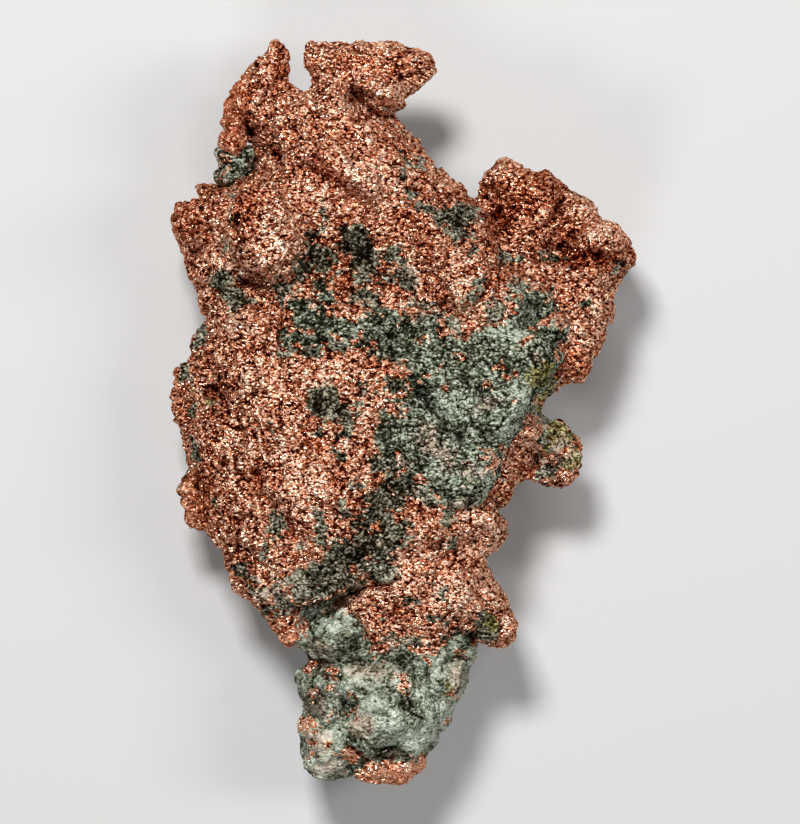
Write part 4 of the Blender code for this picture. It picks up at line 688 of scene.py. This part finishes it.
def ore(name, stone_tones, crisp):
    """Copper where the metal is, stone where it isn't, films and stains over both, and painted shade and
    highlights.
    """
    look = Finish(name)
    here = look.node("TexCoord", output="Object")
    bend = look.noise(here, 3.0, 2.0, "Color")
    bend = look.vector("SUBTRACT", _0=bend, _1=(0.5, 0.5, 0.5))
    bent = look.vector("MULTIPLY_ADD", _0=bend, _1=(0.16 * MM,) * 3, _2=here)
    drawn = look.node("Mapping", Vector=bent, Rotation=(0, 0, 0.6), Scale=(0.72, 1.2, 1.0))
    fine = look.noise(here, 2.6, 4.0)
    crumbs = look.noise(here, 7.0, 3.0)
    grain, own, _ = look.cells(drawn, 4.6)
    crumb, crumb_own, lean = look.cells(drawn, 8.2)
    # Painted shade between the grains: near 1 towards the edge of each grain's cell.
    gap = (grain.step(0.42, 0.85) * 0.25 + crumb.step(0.40, 0.80) * 0.75).clamped()
    pit = look.field("pit")
    metal = look.field("metal") + (own - 0.5) * 0.30 + (fine - 0.5) * 0.9
    metal = metal.step(0.46, 0.54)

    # The grains' own random tone, lifted by the golden patches: partly golden copper, partly painted
    # highlight.
    tone = own * 0.20 + crumb_own * 0.70 + (crumbs - 0.5) * 1.1 + look.field("golden") * 0.24 + 0.40
    ruddy = (look.field("ruddy") + (fine - 0.5) * 0.6 + (own - 0.5) * 0.9).clamped()
    # Painted shade: darker in the gaps between grains, most of all under the painted highlights, in the
    # pits and cracks, and in the darker patches, which are partly dark stain and partly painted shade.
    tone = tone - ruddy * 0.06 - gap * (0.64 + look.field("golden") * 0.30)
    tone = tone - pit * 0.66 - look.field("grave") * 0.16
    tone = (tone + (WORN_TONE - tone) * look.field("worn") * 0.55).clamped()
    copper_colour = look.blend(ruddy, look.shades(tone, COPPER_TONES), look.shades(tone, RUDDY_TONES))

    bed = look.noise(here, 1.1, 3.0)
    seam = (1 - look.seams(bent, 1.7).step(0.02, 0.10)) * fine.step(0.46, 0.62)
    # Painted shade: the stone is darker in the gaps between crumbs, in thin seams, in the pits and cracks,
    # and in the darker patches, which are partly dark stain and partly painted shade.
    shade = (crumbs - 0.5) * 1.4 + own * 0.16 + crumb_own * 0.50 - gap * 0.56 - seam * 0.45 + 0.02
    shade = shade * crisp + (bed - 0.5) * 1.1 + look.field("pale") * 0.30 - look.field("grave") * 0.23
    shade = (shade - pit * 0.6 + 0.405).clamped()
    stone = look.shades(shade, stone_tones)
    stain = (look.field("ochre") + (fine - 0.5) * 0.9 + (own - 0.5) * 0.4).step(0.45, 0.6)
    stone = look.blend(stain, stone, look.shades(shade, OCHRE_TONES))
    haze = (look.field("haze") + (crumbs - 0.5) * 1.0 + (own - 0.5) * 0.3).step(0.3, 0.8)
    stone = look.blend(haze * 0.75, stone, look.shades(shade, HAZE_TONES))

    look.set(look.shader.inputs["Base Color"], look.blend(metal, stone, copper_colour))
    bright = crumb_own.step(0.55, 0.9)
    look.set(look.shader.inputs["Metallic"], (metal * (0.6 + 0.4 * bright)).clamped())
    look.set(look.shader.inputs["Roughness"], 0.75 - metal * (0.25 + 0.25 * bright))
    look.set(look.shader.inputs["Specular IOR Level"], 0.03)
    look.set(look.shader.inputs["Specular Tint"], (1.0, 0.4, 0.2, 1.0))

    height = 1 - grain * 0.5 - crumb * 0.45 + crumbs * 0.3
    bump = look.node("Bump", output="Normal", Height=height, Strength=0.9, Distance=0.19 * MM)
    tilt = look.vector("SCALE", _0=lean, Scale=metal * 0.45 + 0.3 * crisp)
    normal = look.vector("NORMALIZE", _0=look.vector("ADD", _0=bump, _1=tilt))
    look.set(look.shader.inputs["Normal"], normal)
    return look.material


copper.data.materials.clear()
copper.data.materials.append(ore("copper_ore", FILM_TONES, 1.0))
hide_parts("copper_mass")
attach(copper, "root")

# ================================================================ the rock in the hollow of the face
# Dark green rock that the copper grew round: it fills the hollow from the left cheek to the right
# edge. It is cracked and crumbly, and threads and grains of copper come up through it.

ROCK_GRID = 0.09     # millimetres between points
ROCK_MELT = 10       # passes that melt its facets away
THREADS = [
    (0.10, [(6.35, 4.15), (7.35, 4.5), (8.0, 5.0)]), (0.06, [(1.3, 1.55), (1.8, 1.95), (2.2, 2.4)]),
    (0.04, [(2.5, 3.7), (2.9, 3.4), (3.2, 3.9)]), (0.05, [(4.9, 2.6), (5.1, 1.9), (5.6, 1.5)]),
    (0.04, [(2.6, -2.0), (3.4, -2.4), (4.2, -2.2)]),
]
ROCK_CRACKS = [
    (0.25, 0.08, [(0.3, 1.6), (0.9, 1.0), (1.3, 0.2), (1.8, 0.0), (2.1, -0.5), (2.6, -0.7), (3.2, -1.6)]),
    (0.2, 0.07, [(4.0, -0.9), (4.2, -1.3), (4.6, -1.5)]),
    (0.2, 0.07, [(3.0, -1.7), (3.9, -1.6), (5.0, -1.5)]), (0.25, 0.09, [(6.2, 5.6), (6.9, 5.0)]),
    (0.25, 0.09, [(6.3, 4.1), (7.3, 4.0)]), (0.2, 0.08, [(1.6, 2.6), (2.6, 1.9), (3.4, 1.9)]),
    (0.2, 0.08, [(-0.4, 3.2), (0.8, 2.8), (1.6, 3.1)]),
]


def rock_relief(points):
    """The crumbs and clefts of the rock: height over the solid, and the painted shade of its gaps and
    clefts.
    """
    bent = strayed(strayed(points, 0.6, 1.0, 64), 0.3, 0.45, 61)
    _, cleft, own, block_lean = grains(bent, 0.85, 71)
    crumb, gap, crumb_own, lean = grains(bent, 0.30, 81)
    vein = veins(bent, 0.7, 91, 0.86) * ramp(cloud(points, 1.0, 93), 0.3, 0.6)
    split = (1 - ramp(cleft, 0.0, 0.10)) * ramp(cloud(points, 0.9, 94), 0.3, 0.6)
    height = 0.18 * (cloud(points, 1.4, 92) - 0.5) + 0.12 * (own - 0.5) + 0.26 * block_lean
    height += 0.11 * lean + 0.08 * (0.5 - crumb) * (0.4 + crumb_own) - 0.08 * vein - 0.09 * split
    # Painted shade: darker in the gaps between crumbs, in the veins and in the splits.
    pit = 0.16 * (1 - ramp(gap, 0.0, 0.2)) + 0.35 * vein + 0.36 * split
    return height, pit


def grown_rock(node, name, swell, cracks, specks, lines, nudges=()):
    """A lump of rock that fills its pocket in the copper."""
    rock = fine_copy(node, name, ROCK_GRID, ROCK_MELT)
    at, out = nudged(coords(rock.data), nudges), normals(rock.data)
    near_copper = clearance(at, "copper_mass")
    height, pit = rock_relief(at)
    cut = carved(at, level(out), cracks, [])
    height += swell * (1 - 0.75 * ramp(near_copper, 0.3, 1.2))
    move_to(rock.data, at + out * height[:, None] - np.outer(cut, (0, 0, 1)))
    face = frontal(out)
    rim = seam_film(at, near_copper, 0.85, 96)
    metal = np.maximum(patches(at, specks) * face, np.minimum(rim, 1 - patches(at, GREEN_FILM)))
    metal = np.maximum(metal, ramp(cloud(at, 0.55, 97), 0.62, 0.92) * (1 - face))
    metal = np.maximum(metal, threads(at, lines))
    # The painted shade of the gaps, deepened in the carved cracks, goes to the material with the stains.
    keep(rock.data, stains_and_painted_light(at, face) | {"pit": pit + 1.5 * cut, "metal": metal})
    to_metres(rock)
    rock.data.materials.clear()
    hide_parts(node)
    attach(rock, "root")
    return rock


face_rock = grown_rock("face_rock", "green_rock", 0.38, ROCK_CRACKS, SPECKS, THREADS)
face_rock.data.materials.append(ore("dark_green_rock", DARK_TONES, 1.0))

# ================================================================ the tail
# A lump of paler, chalky grey-green rock that hangs on below the apron. A rim of copper runs round
# its foot, and grains of copper are scattered through it.

TAIL_SPECKS = [
    (-4.45, -12.8, 0.35, 0.33, 0), (-3.35, -13.05, 0.2, 0.28, 0), (-4.2, -13.85, 0.13, 0.24, -15),
    (-3.55, -13.7, 0.13, 0.1, 0), (-2.3, -13.95, 0.16, 0.12, -40), (-3.4, -14.95, 0.16, 0.12, 40),
    (-2.45, -14.85, 0.22, 0.1, 40), (-2.1, -15.15, 0.15, 0.12, -50), (0.2, -13.35, 0.28, 0.5, 0),
    (-4.6, -15.6, 0.55, 0.36, 0), (-3.55, -16.5, 0.18, 0.14, -40), (-4.3, -16.5, 0.14, 0.14, 0),
    (-4.35, -17.0, 0.2, 0.12, 30), (-2.5, -17.0, 0.55, 0.3, 0), (2.4, -15.45, 0.22, 0.2, 0),
    (2.9, -12.0, 0.22, 0.13, 0), (3.85, -12.3, 0.18, 0.18, 0), (-1.0, -11.3, 0.2, 0.6, 20),
    (0.95, -17.5, 0.45, 0.5, 0), (-0.4, -18.1, 1.6, 0.55, 6), (-0.6, -17.6, 0.4, 0.35, 0),
    (0.5, -17.9, 0.8, 0.4, 0), (-4.95, -10.65, 0.3, 0.6, 0), (-2.4, -9.75, 0.9, 0.3, 10),
    (-4.3, -12.4, 0.3, 0.15, 0), (-1.2, -10.4, 0.3, 0.4, 0), (2.6, -14.0, 0.2, 0.2, 0),
    (-1.2, -11.7, 0.3, 0.32, 0), (-2.8, -9.7, 0.8, 0.35, 10), (-0.4, -18.2, 2.0, 0.7, 0),
    (1.0, -17.7, 0.6, 0.6, 0),
]
TAIL_CRACKS = [
    (0.25, 0.12, [(-1.8, -10.3), (-1.5, -11.0), (-1.35, -11.7), (-1.9, -12.3)]),
    (0.18, 0.20, [(-4.4, -12.35), (-3.6, -12.45)]), (0.2, 0.16, [(-2.9, -12.3), (-2.1, -12.2)]),
    (0.2, 0.10, [(-2.6, -14.3), (-2.7, -14.8), (-2.5, -15.3)]),
    (0.3, 0.12, [(-1.9, -16.2), (-1.0, -16.6), (0.2, -16.8)]),
    (0.3, 0.10, [(-2.6, -16.5), (-1.9, -16.9), (-1.7, -17.4)]),
    (0.25, 0.09, [(-1.2, -17.0), (-0.6, -17.2), (0.4, -17.0)]),
    (0.2, 0.07, [(0.7, -12.6), (0.5, -13.5), (0.7, -14.6)]), (0.2, 0.08, [(0.2, -13.8), (0.0, -14.5)]),
    (0.25, 0.10, [(2.2, -12.4), (2.7, -12.2), (3.2, -12.35)]), (0.2, 0.08, [(0.9, -12.2), (1.8, -13.4)]),
]
TAIL_NUDGES = [
    (-5.0, -12.35, 0.6, 0.4, 0.0), (-5.15, -13.6, 0.5, 0.2, 0.0), (-5.0, -14.6, 0.5, 0.2, 0.0),
    (-5.05, -16.35, 0.9, 0.22, 0.0), (-1.5, -18.7, 0.9, 0.0, 0.2), (2.8, -14.7, 0.6, -0.2, 0.0),
    (1.75, -17.1, 0.7, -0.35, 0.0), (1.95, -15.9, 0.25, -0.25, 0.0),
]
TAIL_THREADS = [(0.05, [(1.0, -11.9), (1.5, -12.6)])]
tail = grown_rock("tail_rock", "tail", 0.35, TAIL_CRACKS, TAIL_SPECKS, TAIL_THREADS, TAIL_NUDGES)
tail.data.materials.append(ore("pale_green_rock", PALE_TONES, 0.55))

# ================================================================ the lump under the horn
# A small round lump of grey-green rock, held between the horn and the left shoulder.

SHOULDER_CRACKS = [(0.25, 0.10, [(-8.7, 12.5), (-8.0, 12.3), (-7.7, 11.8)])]
SHOULDER_SPECKS = [(-8.7, 12.6, 0.2, 0.12, 0)]
SHOULDER_THREADS = [(0.04, [(-8.9, 11.9), (-8.4, 12.3)])]
SHOULDER_NUDGES = [(-9.3, 12.4, 0.5, 0.3, 0.0), (-8.6, 13.4, 0.6, 0.1, -0.4)]
shoulder = grown_rock("shoulder_rock", "shoulder_lump", 0.1, SHOULDER_CRACKS, SHOULDER_SPECKS,
                      SHOULDER_THREADS, SHOULDER_NUDGES)
shoulder.data.materials.append(bpy.data.materials["dark_green_rock"])

# ================================================================ the floor
# A plain pale floor.

FLOOR_REACH = 0.6
floor_mesh = bmesh.new()
bmesh.ops.create_grid(floor_mesh, x_segments=1, y_segments=1, size=FLOOR_REACH)
floor = bpy.data.objects.new("floor", bpy.data.meshes.new("floor"))
floor_mesh.to_mesh(floor.data)
floor_mesh.free()
bpy.context.scene.collection.objects.link(floor)
paper = Finish("floor_paper")
paper.shader.inputs["Base Color"].default_value = (0.48, 0.475, 0.47, 1)
paper.shader.inputs["Roughness"].default_value = 0.9
floor.data.materials.append(paper.material)

# ================================================================ light
# A soft box over the horn end, near the line of sight, a smaller one low at the right and a strip
# at the foot, so that the grains glint against the dim room.

LIT_PLACE = (0, 0, 0.005)     # the middle of the nugget, that every lamp is aimed at
DIM_ROOM = 0.065


def soft_box(name, place, size, watts):
    lamp = bpy.data.lights.new(name, "AREA")
    lamp.shape, lamp.size, lamp.size_y = "RECTANGLE", *size
    lamp.energy = watts
    obj = bpy.data.objects.new(name, lamp)
    obj.location = place
    obj.rotation_euler = (Vector(LIT_PLACE) - Vector(place)).to_track_quat("-Z", "Y").to_euler()
    bpy.context.scene.collection.objects.link(obj)


soft_box("key", (-0.043, 0.12, 0.215), (0.06, 0.045), 0.79)
soft_box("fill", (0.16, 0.02, 0.18), (0.05, 0.10), 0.22)
soft_box("foot", (-0.05, -0.16, 0.16), (0.08, 0.04), 0.17)
world = bpy.data.worlds.new("room")
world.use_nodes = True
world.node_tree.nodes["Background"].inputs["Color"].default_value = (1, 1, 1, 1)
world.node_tree.nodes["Background"].inputs["Strength"].default_value = DIM_ROOM
bpy.context.scene.world = world
bpy.context.scene.view_settings.view_transform = "Standard"

# ================================================================ camera
# It looks straight down on the face from a quarter of a metre.

VIEW_HEIGHT = 0.0412      # what the picture's height covers at the aim
DISTANCE = 0.25
SENSOR = 36.0
AIM = (0.0, 0.00005, 0.0055)
lens = bpy.data.cameras.new("camera")
lens.sensor_width = SENSOR
lens.lens = SENSOR * DISTANCE / VIEW_HEIGHT
lens.clip_start = 0.01
camera = bpy.data.objects.new("camera", lens)
camera.location = (AIM[0], AIM[1], AIM[2] + DISTANCE)
bpy.context.scene.collection.objects.link(camera)
bpy.context.scene.camera = camera
